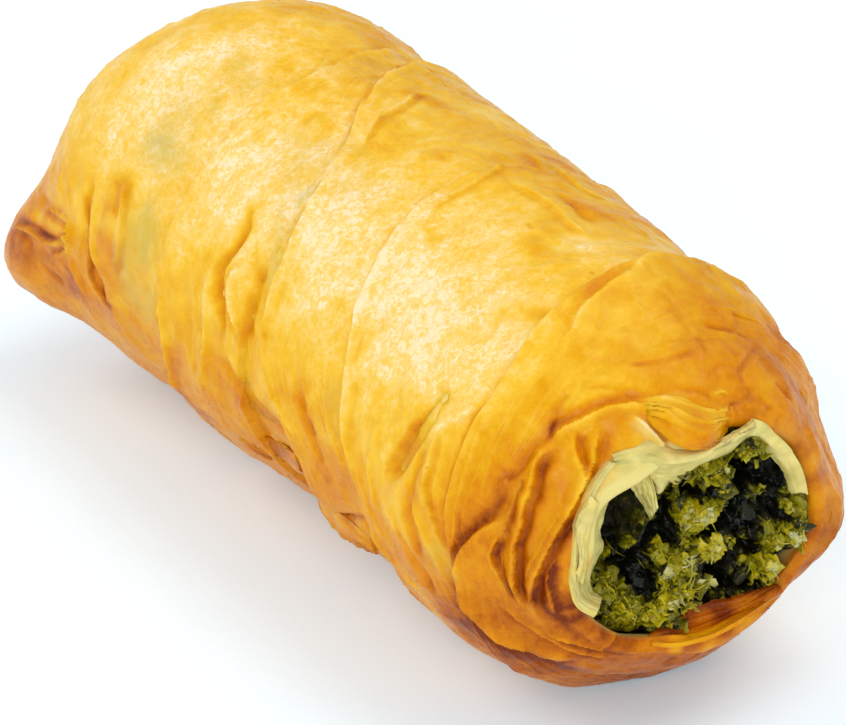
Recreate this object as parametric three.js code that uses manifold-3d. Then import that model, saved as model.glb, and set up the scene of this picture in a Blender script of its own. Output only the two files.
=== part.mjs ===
// A baked borek roll: a strip of thin pastry wound round a core of chopped spinach.
// Millimetres, +Z up. The roll lies along X with its open end at +X and rests on z = 0.
// A place on the pastry is given by three numbers:
//   along - distance along the outline of the roll, measured on the crust; equal to x between the domes
//   turn  - angle round the roll, 0 at +Y, 90 at the top, 180 at -Y; full turns count the winding
//   lift  - height above the plain crust, along its normal
import * as THREE from "three";
import { mergeVertices } from "three/addons/utils/BufferGeometryUtils.js";
import Module from "manifold-3d";

const wasm = await Module();
wasm.setup();

// ---- Driving dimensions ------------------------------------------------------------------

const ROLL_RADIUS = 24.8;
const AXIS_HEIGHT = 23.5; // less than the roll radius: the underside is pressed flat at z = 0
const FAR_CENTRE = -38; // centre of the closed dome
const NEAR_CENTRE = 42; // centre of the open dome
const AXIS_DRIFT = -0.0245; // the roll lies slightly askew: y moved for each millimetre of x
const NEAR_SWELL = 0.7; // the open dome is this much rounder than the closed one
const NEAR_SWELL_WIDTH = 9;

// The strip is wound helically and its far edge always lies on top of the turn before.
const FIRST_TURN = 66; // degrees, where the visible winding starts
const TURNS = 4;
const FULL_TURN = 360;
const EDGE_PLACES = [
  // [turn in degrees, along]: where the far edge of the strip runs
  [66, -28],
  [96, -21],
  [200, -20],
  [424, -21],
  [450, -13.5],
  [472, -3.5],
  [504, 2.8],
  [541, 7.3],
  [562, 14.2],
  [822, 14],
  [866, 20.3],
  [914, 29.8],
  [1146, 42.2],
  [1186, 45],
  [1266, 47.3],
  [1506, 50],
];
const EDGE_LIFT = 0.85; // the far edge stands this far out of the crust
const TAIL_SINK = 0.75; // the near edge of a turn dips this far below it
const CONE_POWER = 1.5; // how fast a turn thins from its far edge
const UNDERLAP = 1.06; // each turn runs on under the next one by this share of its width
const STRIP_DEPTH = 3; // how far a turn is let into the core
const COLLAR_END = 60; // the last turn runs onto the open dome and ends here
const FADE_TURN = 45; // degrees over which the strip rises at its start and dies out at its end
const JOINT_OVERLAP = 4; // degrees that one turn's solid reaches into the next
const JOINT_DROP = 0.12;

const CORE_SINK = 1.2; // the wound part of the core lies this far below the plain crust
const CORE_SINK_START = -36;
const CORE_SINK_FULL = -24;
const CORE_RISE_START = 50;
const CORE_RISE_FULL = 60;

// Bumps and hollows of the domes: [direction from the dome's centre, height, spread in degrees].
const FAR_BUMPS = [
  [[-20, -24, -9], 3.4, 34], // the folded corner, its broad root
  [[-20.5, -24.5, -9.5], 7, 14], // and its point
  [[-15.6, -13.9, 13.4], 1.2, 30],
];
const NEAR_BUMPS = [
  [[0.56, 0.82, -0.15], 2.9, 14], // pointed corner beside the mouth
  [[0.42, 0.89, 0.2], -1.2, 18],
  [[0.45, -0.1, -0.88], -2.3, 26], // drawn-in chin under the mouth
  [[0.62, 0.5, -0.6], -1.1, 22],
];
// Bumps and hollows of the barrel: [along, turn, height, spread along, spread in degrees].
const BARREL_BUMPS = [
  [3, 44, 0.9, 9, 26],
  [5, 225, -1.3, 46, 38], // the shaded side is drawn in above the resting flat
  [-30, 90, 0.35, 12, 40],
  [0, 270, 0.7, 70, 20], // the underside, before it is pressed flat
];

// The mouth is a squarish oval, off the middle, with a wavy lip.
const MOUTH_HALF_WIDTH = 15;
const MOUTH_HALF_HEIGHT = 11.6;
const MOUTH_SQUARENESS = 2.4;
const MOUTH_OFFSET = 1.3;
const MOUTH_WAVES = [
  // [height, waves round the mouth, phase in degrees]
  [0.45, 3, 100],
  [0.35, 5, 20],
  [0.25, 9, 75],
];
const LIP_THICKNESS = 2.2;
const LIP_NOSE = 0.7;

// The hollow behind the mouth, which the filling fills but for a gap.
const CAVITY_RADIUS = 17;
const CAVITY_FAR_END = -54;
const CAVITY_WIDENS_BY = 50; // x at which the neck behind the lip has opened to the full radius
const FIT_GAP = 0.35;

// Folds of thin sheet beside the mouth: [edge along, first turn, last turn, lift].
const MOUTH_FOLDS = [
  [52.5, 128, 226, 1.5],
  [56.5, 118, 234, 1.5],
  [60.5, 126, 240, 1.4],
  [64.0, 132, 228, 1.1],
];
const FOLD_RUN = 7.5;
const FOLD_DEPTH = 2;
const SHEET_ROOT = 0.5; // a fold or loose edge starts this far under the crust

// Loose edges low on the side: [start along, end along, middle turn, reach].
const LOOSE_EDGES = [
  [-15, -2, 222, 1.0],
  [1.5, 17.5, 220, 1.5],
  [40, 58, 224, 1.0],
];
const LOOSE_HALF_WIDTH = 11; // degrees
const LOOSE_DEPTH = 2;

// The filling's front: mostly close behind the lip, sunk into a hollow on the -Y side.
const FRONT_PLACE = 58.5;
const FRONT_DISH = 2.2;
const HOLLOW_DEPTH = 13;
const HOLLOW_CENTRE = [-9.5, 2.5];
const HOLLOW_RADIUS = 6.5;
const FRONT_LUMP = 1.1;
// Waves across the front that make its lumps: [share, per mm of y, per mm of z, phase].
const FRONT_WAVES = [
  [0.5, 0.55, 0.62, 0.8],
  [0.5, 0.55, -0.62, 1.6],
  [0.6, 1.1, -0.9, 0],
];

// How finely the surfaces are cut up.
const COLUMNS = 56;
const TURN_STEP = 6; // degrees
const TURN_ROWS = 4;
const SHEET_ROWS = 4;
const LOOSE_ROWS = 10;
const END_ROWS = 4;
const DOME_ROWS = 9;
const BARREL_ROWS = 4;
const FRONT_ROWS = 7;
const MERGE_DISTANCE = 1e-3; // corners closer than this are one

// ---- Small helpers -----------------------------------------------------------------------

const radians = THREE.MathUtils.degToRad;
const blend = THREE.MathUtils.smoothstep;
const mix = THREE.MathUtils.lerp;

// A smooth curve through [at, value] pairs, level with its neighbours' slope at each of them.
function through(pairs, at) {
  let i = 0;
  while (i < pairs.length - 2 && at > pairs[i + 1][0]) i += 1;
  const slope = (k) => {
    const before = pairs[Math.max(k - 1, 0)];
    const after = pairs[Math.min(k + 1, pairs.length - 1)];
    return (after[1] - before[1]) / (after[0] - before[0]);
  };
  const [x0, y0] = pairs[i];
  const [x1, y1] = pairs[i + 1];
  const width = x1 - x0;
  const t = THREE.MathUtils.clamp((at - x0) / width, 0, 1);
  const steepest = (3 * Math.abs(y1 - y0)) / width;
  const limit = (s) => THREE.MathUtils.clamp(s, -steepest, steepest);
  const bend = t * t * (3 - 2 * t);
  const start = t * (1 - t) * (1 - t) * limit(slope(i));
  const end = -t * t * (1 - t) * limit(slope(i + 1));
  return mix(y0, y1, bend) + width * (start + end);
}

const bell = (x) => Math.exp(-x * x);

function domeBump(direction, [middle, height, spread]) {
  const angle = direction.angleTo(new THREE.Vector3(...middle));
  return height * bell(angle / radians(spread));
}

function barrelBump(along, turn, [middle, middleTurn, height, spread, spreadTurn]) {
  const half = FULL_TURN / 2;
  const away = THREE.MathUtils.euclideanModulo(turn - middleTurn + half, FULL_TURN) - half;
  return height * bell((along - middle) / spread) * bell(away / spreadTurn);
}

// ---- The crust ---------------------------------------------------------------------------

// Radial and axial parts of the crust's normal, and its point, at a place along the roll.
function outline(along) {
  const centre = THREE.MathUtils.clamp(along, FAR_CENTRE, NEAR_CENTRE);
  const tilt = (along - centre) / ROLL_RADIUS;
  return { centre, axial: Math.sin(tilt), radial: Math.cos(tilt) };
}

const total = (values) => values.reduce((a, b) => a + b, 0);

function crustRelief(along, turn, normal) {
  const swell = NEAR_SWELL * blend(along, NEAR_CENTRE - NEAR_SWELL_WIDTH, NEAR_CENTRE);
  const ends = along < 0 ? FAR_BUMPS : NEAR_BUMPS;
  const domes = ends.map((each) => domeBump(normal, each));
  const barrel = BARREL_BUMPS.map((each) => barrelBump(along, turn, each));
  return swell + total(domes) + total(barrel);
}

function crustPoint(along, turn, lift) {
  const { centre, axial, radial } = outline(along);
  const angle = radians(turn);
  const normal = new THREE.Vector3(axial, radial * Math.cos(angle), radial * Math.sin(angle));
  const reach = ROLL_RADIUS + lift + crustRelief(along, turn, normal);
  const point = normal.multiplyScalar(reach);
  point.x += centre;
  point.y += AXIS_DRIFT * point.x;
  point.z += AXIS_HEIGHT;
  return point;
}

function mouthRadius(turn) {
  const across = Math.abs(Math.cos(radians(turn))) / MOUTH_HALF_WIDTH;
  const upright = Math.abs(Math.sin(radians(turn))) / MOUTH_HALF_HEIGHT;
  const oval = (across ** MOUTH_SQUARENESS + upright ** MOUTH_SQUARENESS) ** (-1 / MOUTH_SQUARENESS);
  const wave = ([height, count, phase]) => height * Math.cos(radians(count * turn + phase));
  return oval + MOUTH_OFFSET * Math.cos(radians(turn)) + total(MOUTH_WAVES.map(wave));
}

// Where the open dome has narrowed to the outer side of the lip.
function lipAlong(turn) {
  const cosine = (mouthRadius(turn) + LIP_THICKNESS) / ROLL_RADIUS;
  return NEAR_CENTRE + ROLL_RADIUS * Math.acos(cosine);
}

// A point at a plain distance from the roll's middle line.
function innerPoint(x, turn, radius) {
  return new THREE.Vector3(
    x,
    AXIS_DRIFT * x + radius * Math.cos(radians(turn)),
    AXIS_HEIGHT + radius * Math.sin(radians(turn)),
  );
}

// The hollow's radius near its open end: the mouth's outline at the lip, widening evenly behind it.
function neckRadius(x, turn, lipX) {
  const share = THREE.MathUtils.clamp((lipX - x) / (lipX - CAVITY_WIDENS_BY), 0, 1);
  return mix(mouthRadius(turn), CAVITY_RADIUS, share);
}

// ---- Closed meshes from grids of points ---------------------------------------------------

function solidFrom(points, triangles, tolerance = 1e-4) {
  const geometry = new THREE.BufferGeometry().setFromPoints(points);
  geometry.setIndex(triangles.flat());
  const merged = mergeVertices(geometry, tolerance);
  return new wasm.Manifold(
    new wasm.Mesh({
      numProp: 3,
      vertProperties: new Float32Array(merged.attributes.position.array),
      triVerts: new Uint32Array(merged.index.array),
    }),
  );
}

// The main body of a joined solid, without the slivers that are left where two faces graze.
function mainBody(solid) {
  const made = solid.getMesh();
  const corner = (i) => new THREE.Vector3().fromArray(made.vertProperties, i * made.numProp);
  const points = Array.from({ length: made.numVert }, (_, i) => corner(i));
  const merged = solidFrom(points, [...made.triVerts], MERGE_DISTANCE);
  const bodies = merged.decompose().sort((a, b) => b.volume() - a.volume());
  return bodies[0];
}

function quad(a, b, c, d) {
  return [
    [a, c, b],
    [a, d, c],
  ];
}

// A surface of rings, each closed round the roll, with a point at both ends.
function ringed(first, rings, last) {
  const points = [first, ...rings.flat(), last];
  const at = (ring, column) => 1 + ring * COLUMNS + (column % COLUMNS);
  const end = points.length - 1;
  const triangles = [];
  const lastRing = rings.length - 1;
  for (let column = 0; column < COLUMNS; column += 1) {
    const beside = column + 1;
    triangles.push([0, at(0, beside), at(0, column)]);
    triangles.push([end, at(lastRing, column), at(lastRing, beside)]);
    for (let ring = 0; ring < lastRing; ring += 1) {
      const next = ring + 1;
      triangles.push(...quad(at(ring, column), at(next, column), at(next, beside), at(ring, beside)));
    }
  }
  return solidFrom(points, triangles);
}

// A slab between two grids of equal size, the first outside and the second inside.
function slab(outside, inside) {
  const rows = outside.length;
  const across = outside[0].length;
  const points = [...outside.flat(), ...inside.flat()];
  const top = (i, j) => i * across + j;
  const under = (i, j) => rows * across + i * across + j;
  const triangles = [];
  for (let i = 0; i < rows - 1; i += 1) {
    for (let j = 0; j < across - 1; j += 1) {
      triangles.push(...quad(top(i, j), top(i, j + 1), top(i + 1, j + 1), top(i + 1, j)));
      triangles.push(...quad(under(i, j), under(i + 1, j), under(i + 1, j + 1), under(i, j + 1)));
    }
    triangles.push(...quad(top(i, 0), top(i + 1, 0), under(i + 1, 0), under(i, 0)));
    const j = across - 1;
    triangles.push(...quad(top(i, j), under(i, j), under(i + 1, j), top(i + 1, j)));
  }
  for (let j = 0; j < across - 1; j += 1) {
    const i = rows - 1;
    triangles.push(...quad(top(0, j), under(0, j), under(0, j + 1), top(0, j + 1)));
    triangles.push(...quad(top(i, j), top(i, j + 1), under(i, j + 1), under(i, j)));
  }
  const made = solidFrom(points, triangles);
  if (made.volume() < 0) throw new Error("a slab is inside out");
  return made;
}

// A slab of crust whose outer grid comes from a function of two shares, 0 to 1.
function crustSlab(rows, across, place, depth) {
  const grid = (sink) =>
    Array.from({ length: rows + 1 }, (_, i) =>
      Array.from({ length: across + 1 }, (_, j) => {
        const { along, turn, lift } = place(i / rows, j / across);
        return crustPoint(along, turn, sink ? -depth : lift);
      }),
    );
  return slab(grid(false), grid(true));
}

// ---- Pastry ------------------------------------------------------------------------------

function columnTurns() {
  return Array.from({ length: COLUMNS }, (_, column) => (FULL_TURN * column) / COLUMNS);
}

// Rings of the round far end of the hollow and of the filling, from its pole side.
function hollowEnd(radius) {
  const tubeEnd = CAVITY_FAR_END + CAVITY_RADIUS;
  return Array.from({ length: END_ROWS }, (_, i) => {
    const angle = (Math.PI / 2) * (1 - (i + 1) / END_ROWS);
    const x = tubeEnd - radius * Math.sin(angle);
    return columnTurns().map((turn) => innerPoint(x, turn, radius * Math.cos(angle)));
  });
}

function coreLift(along) {
  const sunk = blend(along, CORE_SINK_START, CORE_SINK_FULL);
  const risen = blend(along, CORE_RISE_START, CORE_RISE_FULL);
  return -CORE_SINK * (sunk - risen);
}

// The body under the winding: closed dome, barrel, open dome, lip and the hollow behind it.
function coreSolid() {
  const turns = columnTurns();
  const farPole = FAR_CENTRE - (ROLL_RADIUS * Math.PI) / 2;
  const rings = [];
  const addRing = (alongOf) => {
    rings.push(turns.map((turn) => crustPoint(alongOf(turn), turn, coreLift(alongOf(turn)))));
  };
  for (let i = 1; i <= DOME_ROWS; i += 1) {
    addRing(() => mix(farPole, FAR_CENTRE, i / DOME_ROWS));
  }
  for (let i = 1; i <= BARREL_ROWS; i += 1) {
    addRing(() => mix(FAR_CENTRE, NEAR_CENTRE, i / BARREL_ROWS));
  }
  for (let i = 1; i <= DOME_ROWS; i += 1) {
    addRing((turn) => mix(NEAR_CENTRE, lipAlong(turn), i / DOME_ROWS));
  }
  const lip = turns.map((turn) => crustPoint(lipAlong(turn), turn, 0));
  const nose = (turn) => mouthRadius(turn) + LIP_THICKNESS / 2;
  rings.push(turns.map((turn, k) => innerPoint(lip[k].x + LIP_NOSE, turn, nose(turn))));
  rings.push(turns.map((turn, k) => innerPoint(lip[k].x, turn, mouthRadius(turn))));
  rings.push(turns.map((turn) => innerPoint(CAVITY_WIDENS_BY, turn, CAVITY_RADIUS)));
  rings.push(...hollowEnd(CAVITY_RADIUS).reverse());
  return ringed(crustPoint(farPole, 0, 0), rings, innerPoint(CAVITY_FAR_END, 0, 0));
}

// One turn of the strip: a cone that is widest at its far edge and runs on under the next turn.
function turnSolid(number) {
  const start = FIRST_TURN + FULL_TURN * number;
  const finish = FIRST_TURN + FULL_TURN * TURNS;
  const last = number === TURNS - 1;
  const from = start - (number > 0 ? JOINT_OVERLAP : 0);
  const to = start + FULL_TURN + (last ? 0 : JOINT_OVERLAP);
  const rows = Math.round((to - from) / TURN_STEP);
  const place = (share, across) => {
    const turn = mix(from, to, share);
    const farEdge = through(EDGE_PLACES, turn);
    const nextEdge = last ? COLLAR_END : through(EDGE_PLACES, Math.min(turn + FULL_TURN, finish));
    const width = (nextEdge - farEdge) * (last ? 1 : UNDERLAP);
    const risen = blend(turn, FIRST_TURN, FIRST_TURN + FADE_TURN);
    const fade = risen * (1 - blend(turn, finish - FADE_TURN, finish));
    const joint = turn < start || turn > start + FULL_TURN ? JOINT_DROP : 0;
    const cone = EDGE_LIFT * (1 - across) ** CONE_POWER - TAIL_SINK * across;
    return { along: farEdge + width * across, turn, lift: mix(-CORE_SINK, cone, fade) - joint };
  };
  return crustSlab(rows, TURN_ROWS, place, STRIP_DEPTH);
}

// A fold of sheet beside the mouth: it rises towards the mouth and ends in a free edge there.
function mouthFold([edge, first, last, lift]) {
  const rows = Math.round((last - first) / TURN_STEP);
  const place = (share, across) => {
    const height = (lift + SHEET_ROOT) * Math.sqrt(Math.sin(Math.PI * share));
    const turn = mix(first, last, share);
    return { along: edge - FOLD_RUN * (1 - across), turn, lift: height * across ** 2 - SHEET_ROOT };
  };
  return crustSlab(rows, SHEET_ROWS, place, FOLD_DEPTH);
}

// A loose edge of sheet low on the side, standing out in a shallow bow.
function looseEdge([start, end, middle, reach]) {
  const place = (share, across) => {
    const height = (reach + SHEET_ROOT) * Math.sin(Math.PI * share);
    const turn = middle + LOOSE_HALF_WIDTH * (1 - 2 * across);
    return { along: mix(start, end, share), turn, lift: height * (1 - across ** 2) - SHEET_ROOT };
  };
  return crustSlab(LOOSE_ROWS, SHEET_ROWS, place, LOOSE_DEPTH);
}

// What the weight of the roll leaves above the surface it rests on.
function pressedFlat(solid) {
  return solid.trimByPlane([0, 0, 1], 0);
}

function pastrySolid() {
  const turns = Array.from({ length: TURNS }, (_, number) => turnSolid(number));
  const extras = [...turns, ...MOUTH_FOLDS.map(mouthFold), ...LOOSE_EDGES.map(looseEdge)];
  const whole = extras.reduce((joined, extra) => joined.add(extra), coreSolid());
  return mainBody(pressedFlat(whole));
}

// ---- Filling -----------------------------------------------------------------------------

// How far back from its plain place the filling's front lies, at a point of the end face.
function frontSet(y, z) {
  const away = Math.hypot(y - HOLLOW_CENTRE[0], z - HOLLOW_CENTRE[1]) / HOLLOW_RADIUS;
  const hollow = HOLLOW_DEPTH * Math.exp(-(away ** 3));
  const dish = FRONT_DISH * (Math.hypot(y, z) / MOUTH_HALF_WIDTH) ** 2;
  const wave = ([share, perY, perZ, phase]) => share * Math.cos(perY * y + perZ * z + phase);
  return hollow + dish - FRONT_LUMP * total(FRONT_WAVES.map(wave));
}

function frontPoint(turn, share) {
  const lipX = crustPoint(lipAlong(turn), turn, 0).x;
  const away = mouthRadius(turn) * share;
  const x = FRONT_PLACE - frontSet(away * Math.cos(radians(turn)), away * Math.sin(radians(turn)));
  return innerPoint(x, turn, (neckRadius(x, turn, lipX) - FIT_GAP) * share);
}

function fillingSolid() {
  const turns = columnTurns();
  const radius = CAVITY_RADIUS - FIT_GAP;
  const tubeEnd = FRONT_PLACE - HOLLOW_DEPTH - FRONT_DISH - FRONT_LUMP * 2;
  const rings = hollowEnd(radius);
  rings.push(turns.map((turn) => innerPoint(tubeEnd, turn, radius)));
  for (let i = FRONT_ROWS; i >= 1; i -= 1) {
    rings.push(turns.map((turn) => frontPoint(turn, i / FRONT_ROWS)));
  }
  return ringed(innerPoint(CAVITY_FAR_END + FIT_GAP, 0, 0), rings, frontPoint(0, 0));
}

// ---- The scene graph ----------------------------------------------------------------------

function meshFrom(name, solid, look) {
  const made = solid.getMesh();
  const positions = new Float32Array(made.numVert * 3);
  for (let i = 0; i < made.numVert; i += 1) {
    positions.set(made.vertProperties.subarray(i * made.numProp, i * made.numProp + 3), i * 3);
  }
  const geometry = new THREE.BufferGeometry();
  geometry.setAttribute("position", new THREE.BufferAttribute(positions, 3));
  geometry.setIndex(new THREE.BufferAttribute(made.triVerts, 1));
  geometry.computeVertexNormals();
  const mesh = new THREE.Mesh(geometry, new THREE.MeshStandardMaterial(look));
  mesh.name = name;
  return mesh;
}

const borek = new THREE.Group();
borek.name = "borek";
borek.add(meshFrom("pastry", pastrySolid(), { color: 0xeabb58, roughness: 0.5, metalness: 0 }));
borek.add(meshFrom("filling", fillingSolid(), { color: 0x3c520a, roughness: 0.45, metalness: 0 }));

// The part's frame has its origin under the middle of the whole.
const middle = new THREE.Box3().setFromObject(borek).getCenter(new THREE.Vector3());
borek.position.set(-middle.x, -middle.y, 0);

export default borek;
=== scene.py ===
import math

import bpy
import numpy as np
from mathutils import Matrix, Vector


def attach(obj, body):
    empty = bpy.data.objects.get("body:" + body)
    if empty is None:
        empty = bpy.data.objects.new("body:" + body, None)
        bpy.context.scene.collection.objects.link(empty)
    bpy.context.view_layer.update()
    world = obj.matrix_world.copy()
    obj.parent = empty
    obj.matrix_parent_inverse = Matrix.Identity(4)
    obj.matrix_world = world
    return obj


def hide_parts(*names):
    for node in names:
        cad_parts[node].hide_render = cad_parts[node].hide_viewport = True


bl_info = {
    "name": "Borek roll",
    "version": (1, 0, 0),
    "blender": (4, 5, 0),
    "location": "3D View > Sidebar > Borek",
    "description": "Builds a baked roll of thin pastry round a chopped spinach filling",
    "category": "Add Mesh",
}

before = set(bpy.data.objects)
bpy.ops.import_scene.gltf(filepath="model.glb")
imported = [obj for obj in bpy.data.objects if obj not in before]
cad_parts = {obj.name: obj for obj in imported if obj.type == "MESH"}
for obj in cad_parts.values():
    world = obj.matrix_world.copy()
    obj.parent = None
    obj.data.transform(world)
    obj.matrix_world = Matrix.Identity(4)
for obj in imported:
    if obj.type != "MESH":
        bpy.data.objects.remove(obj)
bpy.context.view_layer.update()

# A place on the pastry is given by three numbers, as in the CAD:
#   along - millimetres along the outline of the roll, equal to x between the domes
#   turn  - degrees round the roll, 0 at +Y, 90 at the top, 180 at -Y; full turns count the winding
#   lift  - millimetres above the plain crust, along its normal
# Shapes are worked out in these roll millimetres and brought into the frame's metres at the end.
MM = 0.001
SHIFT = np.array([-0.414, 0.308, 0.0])

ROLL_RADIUS = 24.8
AXIS_HEIGHT = 23.5
FAR_CENTRE = -38.0
NEAR_CENTRE = 42.0
AXIS_DRIFT = -0.0245
NEAR_SWELL = 0.7
NEAR_SWELL_WIDTH = 9.0
FIRST_TURN = 66.0
TURNS = 4
# The strip's far edge on its way round: turn, along.
EDGE_PLACES = [
    (66, -28), (96, -21), (200, -19), (424, -21), (450, -13.5), (472, -3.5), (497, 2), (527, 5.4), (535, 8.4),
    (543, 11.4), (556, 14.2), (562, 14.4), (822, 14), (858, 19.4), (890, 25.6), (914, 30.6), (1146, 42.2),
    (1186, 45.6), (1218, 48.3), (1240, 49), (1266, 49.6), (1506, 50),
]
EDGE_LIFT = 0.85  # mm by which the far edge of a turn stands above the plain crust
TAIL_SINK = 0.75  # mm by which its near edge lies below it, under the next turn
CONE_POWER = 1.5
UNDERLAP = 1.06  # width of a turn over the distance to the next turn's far edge
COLLAR_END = 60.0  # the last turn ends here, beside the mouth
FADE_TURN = 45.0  # degrees over which the strip rises at its start and sinks at its finish
CORE_SINK = 1.2  # mm by which the body lies lower under the winding
CORE_SINK_START, CORE_SINK_FULL = -36.0, -24.0
CORE_RISE_START, CORE_RISE_FULL = 50.0, 60.0
# Bumps and hollows of the domes: direction from the dome's centre, height, spread in degrees.
FAR_BUMPS = [((-20, -24, -9), 3.4, 34), ((-20.5, -24.5, -9.5), 7, 14), ((-15.6, -13.9, 13.4), 1.2, 30)]
NEAR_BUMPS = [
    ((0.56, 0.82, -0.15), 2.9, 14), ((0.42, 0.89, 0.2), -1.2, 18),
    ((0.45, -0.1, -0.88), -2.3, 26), ((0.62, 0.5, -0.6), -1.1, 22),
]
# Bumps of the barrel: along, turn, height, spread along, spread in degrees.
BARREL_BUMPS = [
    (3, 44, 0.9, 9, 26), (5, 225, -1.3, 46, 38), (3.5, 215, -1.4, 8, 20), (-30, 90, 0.35, 12, 40),
    (0, 270, 0.7, 70, 20),
]
MOUTH_HALF_WIDTH = 15.0
MOUTH_HALF_HEIGHT = 11.6
MOUTH_SQUARENESS = 2.4
MOUTH_OFFSET = 1.3
MOUTH_WAVES = [(0.45, 3, 100), (0.35, 5, 20), (0.25, 9, 75)]  # height, waves all round, phase
LIP_THICKNESS = 2.2
LIP_NOSE = 0.7
CAVITY_RADIUS = 17.0
CAVITY_FAR_END = -54.0
CAVITY_WIDENS_BY = 50.0
FIT_GAP = 0.35
FRONT_PLACE = 58.5
FRONT_DISH = 2.2
HOLLOW_DEPTH = 13.0
HOLLOW_CENTRE = (-7.5, 2.8)  # to the side of the mouth's middle and above it
HOLLOW_RADIUS = 6.2
FRONT_LUMP = 1.1
FRONT_FORWARD = 1.2
FRONT_RIGHT = 0.9  # further forward at the right
FRONT_LOW = 0.2  # and low down
CLUMP_SHARE = 0.8
MARK_DEPTH = 59.5  # x of the plane in which the marks are traced
# Gaps, crests and wet glints of the filling: rise (in clump heights), lightening, half width in mm, pixels.
# The lightening is painted: darker in the gaps as shade, lighter on the crests and wet glints as painted
# highlights.
FRONT_MARKS = [
    (-2.2, -0.7, 1.3, [(748, 472), (765, 474), (780, 470), (772, 488), (765, 498)]),
    (-2.0, -0.7, 0.9, [(741, 482), (735, 495), (733, 512), (722, 522)]),
    (-2.0, -0.7, 0.9, [(735, 520), (718, 525), (702, 532)]),
    (-2.2, -0.7, 1.0, [(760, 520), (752, 530), (744, 528), (750, 545), (756, 552)]),
    (-1.6, -0.6, 0.8, [(716, 546), (724, 556), (738, 558)]),
    (-1.6, -0.6, 0.9, [(696, 572), (708, 564), (722, 572), (716, 578)]),
    (-1.6, -0.6, 0.6, [(720, 582), (735, 584), (750, 583)]),
    (-2.0, -0.7, 0.9, [(661, 503), (666, 515), (675, 525), (681, 531)]),
    (-1.8, -0.7, 0.7, [(657, 530), (650, 540), (648, 548)]),
    (-1.5, -0.6, 0.5, [(614, 560), (626, 556), (634, 558)]), (-1.4, -0.6, 0.5, [(616, 574), (628, 568)]),
    (-2.0, -0.7, 1.1, [(636, 580), (641, 592), (642, 603)]),
    (-1.4, -0.6, 0.6, [(655, 624), (664, 616), (674, 612)]), (-1.4, -0.6, 0.6, [(636, 625), (642, 632)]),
    (-1.2, -0.6, 0.4, [(676, 600), (688, 597), (704, 600)]), (-1.2, -0.6, 0.4, [(712, 578), (713, 588)]),
    (-1.6, -0.6, 0.7, [(686, 482), (691, 490), (696, 494)]), (-1.2, -0.6, 0.45, [(702, 484), (708, 488)]),
    (-1.0, -0.6, 0.35, [(712, 493), (716, 495)]), (-1.1, -0.6, 0.4, [(698, 506), (704, 500)]),
    (-1.6, -0.6, 0.6, [(728, 458), (736, 462), (742, 472)]),
    (-1.5, -0.6, 0.5, [(742, 498), (748, 503), (744, 506)]),
    (-1.6, -0.6, 0.6, [(772, 508), (780, 517), (790, 520)]), (-1.4, -0.6, 0.5, [(778, 550), (776, 562)]),
    (-1.2, -0.5, 0.5, [(663, 532), (670, 545)]), (-0.8, -0.4, 0.45, [(782, 538), (784, 555)]),
    (-1.0, -0.5, 0.6, [(652, 580), (648, 592)]), (-0.8, -0.4, 0.6, [(640, 560), (650, 566)]),
    (0.7, 0.36, 1.3, [(688, 512), (690, 530), (688, 545), (694, 556), (706, 548)]),
    (0.5, 0.4, 0.4, [(668, 500), (676, 510), (684, 520)]),
    (0.6, 0.4, 0.3, [(700, 500), (706, 500), (706, 508), (700, 512)]),
    (0.5, 0.3, 0.9, [(745, 510), (758, 508), (766, 504)]),
    (0.6, 0.4, 0.4, [(744, 490), (750, 485), (757, 487), (757, 495), (748, 498)]),
    (0.5, 0.28, 1.0, [(766, 522), (770, 540), (768, 556)]),
    (0.4, 0.3, 0.7, [(730, 540), (738, 544), (742, 552)]),
    (0.5, 0.36, 0.9, [(744, 560), (752, 568), (762, 574)]),
    (0.4, 0.3, 0.5, [(764, 562), (772, 568), (780, 572)]),
    (0.4, 0.28, 1.0, [(655, 545), (668, 555), (682, 562), (692, 566)]),
    (0.4, 0.26, 0.9, [(662, 583), (675, 590), (692, 590)]),
    (0.6, 0.36, 0.9, [(640, 612), (652, 610), (664, 602), (680, 604), (690, 606)]),
    (0.5, 0.34, 0.8, [(618, 598), (630, 602), (640, 612)]), (0.4, 0.3, 0.5, [(649, 632), (652, 620)]),
    (0.4, 0.2, 0.9, [(664, 492), (672, 484), (680, 482)]),
    (0.4, 0.26, 0.7, [(704, 470), (714, 468), (722, 462)]), (0.3, 0.24, 0.5, [(722, 480), (726, 494)]),
    (0.5, 0.03, 1.3, [(745, 440), (762, 444), (776, 452), (786, 456)]),
    (0.4, 0.34, 0.5, [(600, 552), (615, 550), (630, 546)]), (0.5, 0.5, 0.4, [(788, 528), (792, 540)]),
    (0.3, 0.5, 0.35, [(744, 452), (752, 456), (756, 462)]), (0.3, 0.5, 0.25, [(766, 448), (762, 458)]),
    (0.3, 0.5, 0.3, [(784, 504), (792, 508), (800, 500)]),
    (0.3, 0.45, 0.3, [(662, 574), (670, 570), (676, 576)]),
    (0.4, 0.5, 0.3, [(684, 580), (694, 579), (704, 584)]), (0.3, 0.45, 0.3, [(710, 541), (718, 538)]),
    (0.2, 0.7, 0.2, [(735, 521), (741, 522)]), (0.2, 0.7, 0.2, [(750, 538), (754, 545)]),
]
FRONT_WAVES = [(0.5, 0.55, 0.62, 0.8), (0.5, 0.55, -0.62, 1.6), (0.6, 1.1, -0.9, 0)]

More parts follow.
